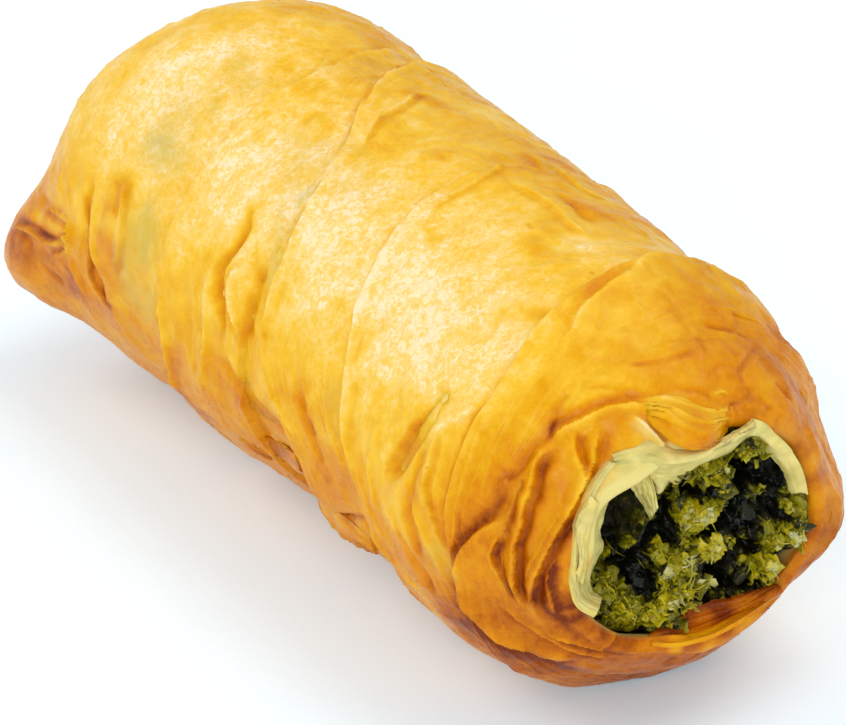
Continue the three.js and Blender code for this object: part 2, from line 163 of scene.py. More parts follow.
# The camera of the photograph, in roll coordinates: it looks from 60 degrees round and 26 up.
CAMERA_AZIMUTH = 60.0
CAMERA_ELEVATION = 26.0
CAMERA_DISTANCE = 900.0
CAMERA_AIM = np.array([0.0, 0.0, 23.5])
CAMERA_SLIDE = (-0.14, -4.33)  # sideways and upwards, so that the roll sits in the frame as photographed
FOCAL_PIXELS = 7713.0
IMAGE_WIDTH, IMAGE_HEIGHT = 846, 725
SENSOR_MM = 36.0
SEEKING_START = 110.0  # mm before the aim at which a ray begins to be followed
SEEKING_SHARE = 0.8  # each step as a share of the height left
SEEKING_STEPS = 90

# ---- Settings a user may change -------------------------------------------------------------


class BorekSizes(bpy.types.PropertyGroup):
    """Sizes of the fine shapes, in metres."""
    sheet: bpy.props.FloatProperty(
        name="Sheet", description="Thickness of a sheet of dough", default=0.00042, unit="LENGTH")
    lump: bpy.props.FloatProperty(
        name="Lumps", description="Height of the soft lumps of the crust", default=0.00034, unit="LENGTH")
    wrinkle: bpy.props.FloatProperty(
        name="Wrinkles", description="Height of the wrinkles of the winding", default=0.0001, unit="LENGTH")
    blister: bpy.props.FloatProperty(
        name="Blisters", description="Height of the small blisters", default=0.0001, unit="LENGTH")
    clump: bpy.props.FloatProperty(
        name="Clumps", description="Height of the clumps of the filling", default=0.0013, unit="LENGTH")
    leaves: bpy.props.IntProperty(
        name="Leaf bits", description="How many bits of leaf lie on the front", default=560, min=0)
    crumbs: bpy.props.IntProperty(
        name="Crumbs", description="How many crumbs of leaf lie on the front", default=2200, min=0)
    fibres: bpy.props.IntProperty(
        name="Fibres", description="How many fibres stand out of the front", default=110, min=0)


def colour_setting(name, description, red, green, blue):
    """A colour property given in screen values from 0 to 255."""
    return bpy.props.FloatVectorProperty(
        name=name, description=description, subtype="COLOR", size=3, min=0, max=1,
        default=tuple(to_linear(v / 255) for v in (red, green, blue)))


def to_linear(value):
    """A screen value from 0 to 1 as light: (v + 0.055) / 1.055 to the power 2.4, or v / 12.92 where dark."""
    return value / 12.92 if value <= 0.04045 else ((value + 0.055) / 1.055) ** 2.4


class BorekColours(bpy.types.PropertyGroup):
    """Colours of the crust from pale to dark, of the raw dough and of the leaves."""
    cream: colour_setting("Cream", "Palest crust", 251, 225, 180)
    pale: colour_setting("Pale", "Pale yellow crust", 247, 208, 118)
    yellow: colour_setting("Yellow", "Yellow crust", 241, 190, 50)
    golden: colour_setting("Golden", "Golden crust", 229, 165, 12)
    orange: colour_setting("Orange", "Well baked crust", 216, 134, 4)
    brown: colour_setting("Brown", "Browned crust", 180, 93, 2)
    dark: colour_setting("Dark", "Darkest crust", 120, 46, 2)
    dough: colour_setting("Dough", "Soft dough inside the mouth", 226, 208, 128)
    leaf_light: colour_setting("Light leaf", "Bright leaf", 198, 180, 14)
    leaf_mid: colour_setting("Middle leaf", "Leaf", 140, 132, 4)
    leaf_dark: colour_setting("Dark leaf", "Dark leaf", 38, 36, 3)
    show_through: colour_setting("Show-through", "Filling seen through thin dough", 186, 172, 92)


# ---- Small helpers --------------------------------------------------------------------------


def smooth(x, low, high):
    """0 below low, 1 above high and 3t^2 - 2t^3 between them."""
    t = np.clip((x - low) / (high - low), 0, 1)
    return t * t * (3 - 2 * t)


def bell(x):
    """e to the power -x^2."""
    return np.exp(-x * x)


def mix(a, b, t):
    """a + (b - a) t."""
    return a + (b - a) * t


def window(x, rise, fall):
    """0 before rise, 1 between rise and fall and 0 after fall, changing smoothly within either."""
    return smooth(x, *rise) * (1 - smooth(x, *fall))


def turned(turn, middle):
    """Degrees from middle to turn the short way round, from -180 to 180."""
    return (turn - middle + 180) % 360 - 180


def cubic(start, end, start_slope, end_slope, t):
    """The cubic from start to end with these slopes: start + (end - start) (3t^2 - 2t^3)
    + t (1 - t)^2 start slope - t^2 (1 - t) end slope."""
    leaving = t * (1 - t) ** 2 * start_slope
    arriving = t * t * (1 - t) * end_slope
    return mix(start, end, t * t * (3 - 2 * t)) + leaving - arriving


def through(pairs, at):
    """A smooth curve through (at, value) pairs: cubic pieces whose slopes at the pairs are those of their
    neighbours, held to three times the steepness of the piece."""
    x = np.array([p[0] for p in pairs], float)
    y = np.array([p[1] for p in pairs], float)
    n = len(x)
    before = np.maximum(np.arange(n) - 1, 0)
    after = np.minimum(np.arange(n) + 1, n - 1)
    slope = (y[after] - y[before]) / (x[after] - x[before])
    i = np.clip(np.searchsorted(x, at) - 1, 0, n - 2)
    width = x[i + 1] - x[i]
    t = np.clip((at - x[i]) / width, 0, 1)
    steepest = 3 * np.abs(y[i + 1] - y[i])
    start, end = (np.clip(width * slope[k], -steepest, steepest) for k in (i, i + 1))
    return cubic(y[i], y[i + 1], start, end, t)


def unit(v):
    """v divided by its length."""
    return v / np.maximum(np.linalg.norm(v, axis=-1, keepdims=True), 1e-12)


def scatter(cells, seed):
    """A number from 0 to 1 for each whole-number triple, from multiplying and folding its bits."""
    n = cells[..., 0] * 73856093 ^ cells[..., 1] * 19349663 ^ cells[..., 2] * 83492791 ^ seed * 374761393
    n = (n & 0x7FFFFFFF)
    n = ((n >> 13) ^ n) * 1274126177 & 0x7FFFFFFF
    n = ((n >> 16) ^ n) * 668265263 & 0x7FFFFFFF
    return ((n >> 8) & 0xFFFF) / 65535.0


def grain(points, size, seed):
    """Smooth values from -1 to 1: a random number at each corner of a lattice of the given size, blended
    between the corners by 3t^2 - 2t^3."""
    p = points / size
    cell = np.floor(p).astype(np.int64)
    t = p - cell
    t = t * t * (3 - 2 * t)
    total = 0
    for corner in np.ndindex(2, 2, 2):
        share = np.prod(np.where(corner, t, 1 - t), axis=-1)
        total = total + share * scatter(cell + np.array(corner), seed)
    return 2 * total - 1


def ridges(points, size, seed):
    """Thin crests where grain passes zero: (1 - |grain|) to the power 6."""
    return (1 - np.abs(grain(points, size, seed))) ** 6


def layered(points, layers):
    """Sum of share times grain over layers of share, size in mm and seed."""
    return sum(share * grain(points, size, seed) for share, size, seed in layers)


def shaken(points, size, fine_size, seed):
    """Three numbers at each point, used to make strokes wander: soft noise of one size and half as much
    of a finer one."""
    return np.stack([
        grain(points, size, each) + 0.5 * grain(points, fine_size, each + 3)
        for each in range(seed, seed + 3)], -1)


# ---- The crust's shape ----------------------------------------------------------------------


def outline(along):
    """Centre on the axis, and axial and radial parts of the normal: a capsule's."""
    centre = np.clip(along, FAR_CENTRE, NEAR_CENTRE)
    tilt = (along - centre) / ROLL_RADIUS
    return centre, np.sin(tilt), np.cos(tilt)


def crust_normal(along, turn):
    """(sin tilt, cos tilt cos turn, cos tilt sin turn)."""
    _, axial, radial = outline(along)
    angle = np.radians(turn)
    return np.stack(np.broadcast_arrays(axial, radial * np.cos(angle), radial * np.sin(angle)), -1)


def crust_swell(along, turn, normal):
    """Sum of the near swell, the domes' bumps and the barrel's bumps, each height times a bell."""
    total = NEAR_SWELL * smooth(along, NEAR_CENTRE - NEAR_SWELL_WIDTH, NEAR_CENTRE)
    for bumps, here in ((FAR_BUMPS, along < 0), (NEAR_BUMPS, along >= 0)):
        for direction, height, spread in bumps:
            cosine = normal @ unit(np.array(direction, float))
            angle = np.degrees(np.arccos(np.clip(cosine, -1, 1)))
            total = total + np.where(here, height * bell(angle / spread), 0)
    for middle, middle_turn, height, spread, spread_turn in BARREL_BUMPS:
        round_share = bell(turned(turn, middle_turn) / spread_turn)
        total = total + height * bell((along - middle) / spread) * round_share
    return total


def crust(along, turn, lift=0.0):
    """Centre + normal (radius + lift + swell), moved sideways with x, raised and pressed flat below."""
    along, turn, lift = np.broadcast_arrays(
        np.asarray(along, float), np.asarray(turn, float), np.asarray(lift, float))
    centre, _, _ = outline(along)
    normal = crust_normal(along, turn)
    point = normal * (ROLL_RADIUS + lift + crust_swell(along, turn, normal))[..., None]
    x = point[..., 0] + centre
    y = point[..., 1] + AXIS_DRIFT * x
    z = np.maximum(point[..., 2] + AXIS_HEIGHT, 0.0)
    return np.stack([x, y, z], -1)


def mouth_radius(turn):
    """A squarish oval, off the middle, with waves."""
    angle = np.radians(turn)
    across = np.abs(np.cos(angle)) / MOUTH_HALF_WIDTH
    upright = np.abs(np.sin(angle)) / MOUTH_HALF_HEIGHT
    oval = (across ** MOUTH_SQUARENESS + upright ** MOUTH_SQUARENESS) ** (-1 / MOUTH_SQUARENESS)
    waves = sum(h * np.cos(np.radians(count * turn + phase)) for h, count, phase in MOUTH_WAVES)
    return oval + MOUTH_OFFSET * np.cos(angle) + waves


def lip_along(turn):
    """Where the open dome has narrowed to the outer side of the lip."""
    return NEAR_CENTRE + ROLL_RADIUS * np.arccos((mouth_radius(turn) + LIP_THICKNESS) / ROLL_RADIUS)


def inner(x, turn, radius):
    """A point at a plain distance from the roll's middle line."""
    x, turn, radius = np.broadcast_arrays(
        np.asarray(x, float), np.asarray(turn, float), np.asarray(radius, float))
    angle = np.radians(turn)
    return np.stack([x, AXIS_DRIFT * x + radius * np.cos(angle), AXIS_HEIGHT + radius * np.sin(angle)], -1)


def neck_radius(x, turn):
    """The mouth's radius at the lip, widening evenly to the hollow's behind it."""
    lip_x = crust(lip_along(turn), turn)[..., 0]
    share = np.clip((lip_x - x) / (lip_x - CAVITY_WIDENS_BY), 0, 1)
    return mix(mouth_radius(turn), CAVITY_RADIUS, share)


def camera_axes():
    """Right, up and back of the camera from its azimuth and elevation."""
    a, e = math.radians(CAMERA_AZIMUTH), math.radians(CAMERA_ELEVATION)
    back = np.array([math.cos(e) * math.sin(a), -math.cos(e) * math.cos(a), math.sin(e)])
    right = np.array([math.cos(a), math.sin(a), 0.0])
    return right, np.cross(back, right), back


def camera_place():
    """Aim + back distance + slide along right and up."""
    right, up, back = camera_axes()
    return CAMERA_AIM + back * CAMERA_DISTANCE + right * CAMERA_SLIDE[0] + up * CAMERA_SLIDE[1]


def pixel_ray(column, row):
    """The camera's direction through a pixel, one unit deep: -back + right and up by the pixel's offset
    from the middle of the picture over the focal length."""
    right, up, back = camera_axes()
    aside = (column - IMAGE_WIDTH / 2) / FOCAL_PIXELS
    above = (IMAGE_HEIGHT / 2 - row) / FOCAL_PIXELS
    return aside[..., None] * right + above[..., None] * up - back


def seen(column, row, x):
    """The point at depth x that the photograph's camera sees at this pixel."""
    column, row, x = (np.asarray(v, float) for v in (column, row, x))
    ray = pixel_ray(column, row)
    place = camera_place()
    return place + ray * ((x - place[0]) / ray[..., 0])[..., None]


def place_of(point):
    """Along and turn of the crust under a point, the angles of its offset from the nearest centre, and
    how far it is from that centre."""
    x = point[..., 0]
    y = point[..., 1] - AXIS_DRIFT * x
    z = point[..., 2] - AXIS_HEIGHT
    centre = np.clip(x, FAR_CENTRE, NEAR_CENTRE)
    reach = np.hypot(y, z)
    tilt = np.arctan2(x - centre, reach)
    return centre + ROLL_RADIUS * tilt, np.degrees(np.arctan2(z, y)), np.hypot(x - centre, reach)


def seen_on_crust(column, row, lift):
    """The place on the crust that the photograph's camera sees at this pixel: its ray is followed from
    SEEKING_START before the roll, in steps of SEEKING_SHARE of its height above the crust at this lift."""
    ray = unit(pixel_ray(np.asarray(column, float), np.asarray(row, float)))
    point = camera_place() + ray * (CAMERA_DISTANCE - SEEKING_START)
    for _ in range(SEEKING_STEPS):
        along, turn, reach = place_of(point)
        swell = crust_swell(along, turn % 360, crust_normal(along, turn))
        point = point + ray * (SEEKING_SHARE * (reach - ROLL_RADIUS - lift - swell))[..., None]
    along, turn, _ = place_of(point)
    return along, turn % 360


# ---- Baking and creases -----------------------------------------------------------------------

# How far the crust is baked round the roll: turn, amount from 0 pale to 1 dark.
BAKE_ROUND = [
    (-90, 0.8), (-40, 0.62), (0, 0.54), (40, 0.56), (75, 0.43), (92, 0.33), (108, 0.22), (122, 0.17),
    (136, 0.16), (150, 0.22), (165, 0.37), (180, 0.5), (195, 0.62), (210, 0.7), (225, 0.75), (270, 0.8),
]
# How much more the roll is baked along it: along, amount.
BAKE_ALONG = [
    (-80, 0.16), (-60, 0.16), (-50, 0.08), (-42, 0.02), (-30, 0), (40, 0), (46, 0.06), (52, 0.2), (64, 0.22),
]
# Patches on the sides that the photograph does not show: along, turn, half length along, half length
# round in mm, amount of baking; then the same where the filling shows through.
BAKE_PATCHES = [
    (57, 40, 4, 5, 0.12), (61, 10, 3, 6, 0.1), (58, -14, 4, 3, 0.24), (60, -30, 2.4, 3, 0.2),
    (-20, 22, 14, 9, 0.12), (12, 8, 12, 8, 0.14), (30, 30, 9, 9, 0.1), (-38, 30, 8, 8, 0.16),
    (-6, -30, 16, 7, 0.1), (35, -20, 9, 8, 0.14), (-10, 46, 5, 3, 0.2), (22, 44, 6, 3, 0.22),
    (4, 28, 3, 4, 0.24), (-30, 8, 4, 6, 0.24), (-50, 60, 5, 6, 0.16), (46, 6, 4, 5, 0.2),
    (-14, -6, 5, 4, 0.22), (18, -12, 4, 6, 0.2), (-4, 60, 9, 5, -0.14), (34, 52, 6, 4, -0.14),
    (-26, 44, 7, 5, -0.16), (8, 12, 5, 5, -0.16), (-44, 10, 4, 6, -0.14), (28, 2, 5, 4, -0.14),
]
GREEN_PATCHES = [(-24, -30, 9, 8, 0.25), (-16, 34, 7, 6, 0.2), (14, 30, 6, 4, 0.16)]
# Where the crust is pale, dry and blistered, given in the same way.
PALE_PATCHES = [(-24, 120, 20, 17, 1), (8, 128, 12, 12, 0.6), (30, 132, 12, 12, 0.7)]
# Layers of soft noise: share, size in mm, seed.
LUMP_LAYERS = [(1, 8.5, 21), (0.6, 3.6, 22)]
BAKE_LAYERS = [(0.09, 5.5, 31), (0.08, 2.2, 32), (0.05, 0.9, 33)]
SPECKLE = 0.12  # baking of the small specks
POLE_BAKE = 0.55  # the far pole is baked alike all round, out to where POLE_FADE along begins
POLE_FADE = (-77, -60)
FLOOR_FADE = (0.2, 2.5)  # mm above the floor over which the relief comes in
# Folds and creases, by the pixels of the photograph that they pass, each line read downwards: half width and
# height in mm, steep side (1 right, -1 left, 0 none), change of baking on the crest and beside the steep
# side. The paler crests of raised folds are partly painted highlight, and the darker bottoms of furrows and
# the darker strips beside the steep sides are partly painted shade.
FOLDS = [
    (0.6, 0.5, 1, -0.16, 0.2, [(83, 205), (84, 232), (87, 259), (94, 286), (108, 306)]),
    (0.6, 0.5, -1, -0.16, 0.2, [(40, 206), (54, 214), (66, 232), (64, 250), (50, 254)]),
    (1.0, 0.35, -1, -0.08, 0.1, [(322, 180), (303, 215), (283, 250), (273, 290), (262, 330), (264, 365),
     (275, 400), (290, 440), (300, 462)]),
    (1.1, 0.35, -1, -0.12, 0.06, [(420, 205), (400, 225), (385, 250), (372, 275), (362, 300), (352, 330),
     (346, 360), (344, 390), (345, 420), (348, 450), (353, 475), (362, 500), (372, 520)]),
    (1.1, -1.1, 0, 0.1, 0, [(448, 376), (437, 390), (430, 400), (424, 412), (415, 425), (408, 440),
     (400, 455), (393, 470), (388, 487)]),
    (0.5, 0.4, 1, -0.04, 0.1, [(440, 384), (428, 398), (416, 414), (404, 430), (394, 448), (386, 466),
     (383, 484)]),
    (0.7, 0.5, 0, -0.08, 0, [(492, 396), (478, 405), (462, 411), (445, 418), (430, 428), (420, 437)]),
    (0.7, 0.45, 1, -0.06, 0.1, [(436, 425), (428, 445), (424, 465), (421, 485), (424, 505), (430, 525),
     (438, 545), (447, 562)]),
    (0.7, -0.5, 0, 0.12, 0, [(420, 436), (414, 452), (410, 470), (407, 490), (408, 515), (413, 540),
     (420, 565)]),
    (0.9, 0.6, -1, -0.1, 0.16, [(494, 396), (480, 414), (468, 434), (460, 455), (454, 478), (448, 500),
     (445, 522), (445, 542), (449, 559)]),
    (0.5, 0.3, 1, -0.04, 0.12, [(456, 505), (458, 520), (457, 536), (453, 550), (449, 560)]),
    (0.8, -0.6, 0, 0.2, 0, [(508, 486), (498, 500), (486, 512), (474, 526), (464, 540), (457, 552),
     (452, 566)]),
    (0.8, 0.55, -1, -0.12, 0.12, [(504, 518), (492, 522), (480, 529), (470, 538), (462, 550), (457, 564),
     (455, 578)]),
    (0.6, 0.6, 1, -0.08, 0.3, [(499, 534), (494, 545), (491, 556), (493, 566), (499, 578), (506, 590),
     (514, 602)]),
    (0.7, -0.5, 0, 0.1, 0, [(552, 424), (547, 438), (536, 444), (526, 452), (517, 464), (508, 474),
     (500, 484)]),
    (0.35, -0.35, 0, 0.14, 0, [(540, 448), (530, 456), (522, 466), (514, 475), (506, 482)]),
    (0.9, 1.1, 1, -0.1, 0.34, [(566, 448), (556, 449), (546, 453), (538, 459), (534, 468), (533, 480),
     (531, 492), (526, 505), (521, 518), (518, 530), (515, 545), (513, 560), (513, 574), (517, 588),
     (524, 602), (532, 616)]),
    (0.5, 0.4, 1, -0.04, 0.16, [(520, 476), (518, 488), (514, 500), (508, 512), (503, 526), (501, 540)]),
    (0.8, 0.8, 1, -0.04, 0.3, [(578, 430), (575, 440), (576, 452), (580, 462), (586, 472), (588, 482)]),
    (0.9, 1.3, 1, -0.12, 0.36, [(600, 420), (598, 434), (597, 448), (595, 462), (590, 477), (584, 491),
     (576, 503), (568, 516), (560, 530), (553, 543), (545, 557), (538, 570), (533, 583), (531, 597),
     (534, 611), (540, 625)]),
    (0.5, 0.35, 1, -0.06, 0.12, [(563, 508), (556, 522), (549, 535), (542, 547), (535, 558), (529, 570),
     (525, 584)]),
    (0.7, 0.6, 1, -0.1, 0.3, [(556, 560), (549, 570), (547, 582), (549, 596), (553, 608), (558, 618)]),
    (1.4, 1.1, -1, -0.14, 0.2, [(452, 588), (461, 598), (474, 611), (489, 627), (504, 640), (520, 647),
     (540, 653), (560, 658), (580, 664)]),
    (0.6, 0.4, -1, -0.1, 0.12, [(500, 604), (514, 620), (530, 632), (548, 641), (566, 650), (588, 656),
     (612, 660)]),
    (0.6, 0.5, -1, -0.1, 0.2, [(540, 630), (556, 640), (575, 646), (598, 651), (624, 652), (650, 650),
     (680, 642)]),
    (0.6, 0.5, -1, -0.1, 0.26, [(576, 634), (596, 641), (618, 645), (642, 645), (668, 640), (700, 630),
     (730, 617), (752, 603)]),
    (0.7, 0.6, -1, -0.16, 0.1, [(560, 614), (566, 620), (576, 616), (590, 618), (604, 624), (618, 634)]),
    (0.8, 0.7, -1, -0.14, 0.24, [(740, 610), (756, 600), (770, 588), (782, 574), (792, 562), (802, 550)]),
    (0.9, 0.9, 1, -0.12, 0.3, [(548, 441), (556, 435), (566, 428), (578, 420), (590, 413), (603, 408),
     (618, 405), (634, 403), (650, 403)]),
    (1.2, 0.8, -1, -0.06, 0.1, [(618, 459), (640, 456), (664, 452), (690, 448), (714, 441), (736, 431),
     (752, 419)]),
    (0.7, 0.5, 1, -0.3, 0.1, [(632, 414), (642, 420), (652, 428), (662, 440), (668, 450)]),
    (0.5, 0.35, -1, -0.2, 0.1, [(716, 396), (724, 392), (732, 394)]),
    (0.4, -0.4, 0, 0.22, 0, [(617, 384), (632, 394), (650, 394), (668, 391), (690, 391), (706, 394),
     (722, 402), (732, 396)]),
    (0.35, -0.35, 0, 0.24, 0, [(700, 316), (712, 322), (728, 325), (745, 326), (762, 331)]),
    (0.45, -0.4, 0, 0.2, 0, [(768, 338), (757, 346), (750, 358), (742, 370), (745, 380), (752, 388),
     (744, 398), (734, 404), (726, 416), (720, 430)]),
    (0.4, -0.35, 0, 0.2, 0, [(758, 396), (766, 405), (776, 413), (790, 424)]),
    (0.4, -0.3, 0, 0.2, 0, [(776, 380), (784, 390), (792, 400)]),
    (0.4, -0.3, 0, 0.16, 0, [(708, 380), (716, 370), (728, 363), (742, 366)]),
    (0.4, -0.35, 0, 0.2, 0, [(622, 362), (640, 363), (662, 359), (682, 356), (700, 349)]),
    (0.35, -0.25, 0, 0.16, 0, [(586, 386), (602, 384), (618, 387), (632, 398)]),
    (0.5, -0.3, 0, 0.16, 0, [(566, 390), (560, 402), (552, 414)]),
    (0.6, 0.35, 0, -0.1, 0, [(806, 420), (815, 440), (822, 462), (830, 484), (840, 503)]),
    (0.4, -0.4, 0, 0.18, 0, [(812, 470), (820, 488), (828, 502), (838, 514)]),
    (0.5, 0.45, 1, -0.1, 0.1, [(732, 404), (738, 408), (744, 412), (748, 424)]),
    (0.4, 0.3, -1, -0.12, 0.08, [(336, 44), (322, 52), (312, 64), (296, 76), (276, 88), (262, 100),
     (250, 112)]),
    (0.9, 0.5, -1, -0.06, 0.08, [(400, 44), (380, 44), (360, 46), (342, 52), (326, 66), (312, 78),
     (290, 90)]),
    (0.8, 0.5, -1, -0.12, 0.14, [(420, 66), (400, 74), (384, 82), (372, 96), (366, 110)]),
    (0.7, 0.35, 1, -0.06, 0.18, [(440, 96), (424, 94), (408, 104), (396, 110), (380, 118), (372, 132),
     (356, 150)]),
    (0.5, -0.35, 0, 0.06, 0, [(340, 100), (328, 128), (322, 150), (308, 172), (298, 190)]),
    (0.7, 0.4, 0, -0.06, 0, [(352, 148), (340, 162), (330, 178), (318, 196)]),
    (0.6, 0.35, 1, -0.08, 0.12, [(510, 168), (490, 180), (470, 190), (452, 200), (436, 212), (424, 226)]),
    (0.6, -0.4, 0, 0.06, 0, [(464, 176), (450, 186), (438, 196)]),
    (0.8, 0.4, 1, -0.04, 0.12, [(590, 232), (572, 222), (552, 206), (536, 196), (520, 190), (506, 186)]),
    (0.7, 0.4, 1, -0.04, 0.16, [(612, 204), (596, 196), (576, 186), (556, 172), (544, 160), (536, 150)]),
    (0.6, -0.45, 0, 0.2, 0, [(556, 192), (570, 202), (584, 212), (602, 218)]),
    (1.0, 0.5, -1, -0.1, 0.12, [(676, 258), (660, 256), (644, 262), (628, 278), (606, 290), (588, 306),
     (570, 330), (556, 352)]),
    (0.8, 0.35, 0, -0.06, 0, [(560, 306), (540, 322), (522, 338), (508, 354)]),
    (0.5, -0.3, 0, 0.05, 0, [(500, 318), (480, 332), (462, 342), (450, 356)]),
    (0.6, -0.5, 0, 0.1, 0, [(86, 168), (88, 190), (84, 210), (82, 232), (84, 250), (92, 268), (100, 290),
     (104, 304)]),
    (0.7, 0.35, 0, -0.06, 0, [(94, 198), (90, 215), (87, 235), (90, 252), (98, 266)]),
    (0.8, 0.5, 1, -0.06, 0.1, [(122, 178), (121, 196), (118, 214), (118, 232), (116, 250), (114, 264),
     (110, 276)]),
    (0.6, -0.5, 0, 0.14, 0, [(30, 186), (38, 196), (48, 206), (60, 214), (68, 226)]),
    (0.6, 0.9, 1, -0.12, 0.3, [(14, 222), (26, 226), (36, 231), (44, 238), (53, 242), (62, 240),
     (67, 232), (64, 222), (56, 214)]),
    (0.5, -0.4, 0, 0.16, 0, [(18, 226), (26, 236), (34, 246)]),
    (0.5, 0.5, 0, -0.1, 0, [(66, 258), (74, 272), (80, 284), (88, 296)]),
    (0.5, -0.5, 0, 0.2, 0, [(92, 270), (98, 286), (102, 300), (112, 310)]),
    (0.5, -0.4, 0, 0.16, 0, [(40, 262), (52, 274), (64, 284)]),
    (0.9, 0.6, -1, -0.06, 0.12, [(163, 290), (166, 315), (168, 340), (172, 362), (180, 390)]),
    (0.6, -0.8, 0, 0.2, 0, [(244, 206), (244, 224), (238, 240), (228, 254), (220, 266), (217, 285),
     (217, 305), (219, 325), (222, 340)]),
    (0.9, 0.6, -1, -0.14, 0.1, [(240, 268), (228, 276), (226, 296), (228, 316), (232, 336), (238, 352)]),
    (0.8, 0.5, 0, -0.06, 0, [(210, 270), (206, 300), (204, 330), (203, 360), (202, 390)]),
    (0.7, -0.5, 0, 0.1, 0, [(256, 262), (256, 282), (250, 300), (244, 320), (242, 340)]),
    (0.8, -0.5, 0, 0.14, 0, [(212, 352), (224, 372), (240, 394), (256, 412), (274, 430), (292, 446)]),
    (0.6, 0.4, -1, -0.08, 0.1, [(266, 372), (276, 394), (288, 416), (300, 440)]),
    (0.6, -0.45, 0, 0.14, 0, [(299, 386), (302, 405), (308, 425), (314, 448), (322, 470)]),
    (0.5, 0.35, 0, -0.06, 0, [(322, 400), (326, 425), (332, 450), (340, 475)]),
    (0.6, 0.4, 0, -0.05, 0, [(380, 420), (374, 444), (370, 468), (374, 492), (384, 516)]),
    (0.6, 0.4, -1, -0.08, 0.1, [(372, 520), (380, 540), (394, 560), (410, 580), (430, 604)]),
    (0.7, -0.5, 0, 0.12, 0, [(392, 500), (396, 525), (406, 550), (420, 575), (436, 600)]),
    (0.6, 0.4, 0, -0.06, 0, [(406, 490), (412, 515), (424, 545), (438, 575), (450, 600)]),
    (0.6, -0.9, 0, 0.26, 0, [(320, 498), (332, 511), (346, 519), (360, 526), (372, 540)]),
]
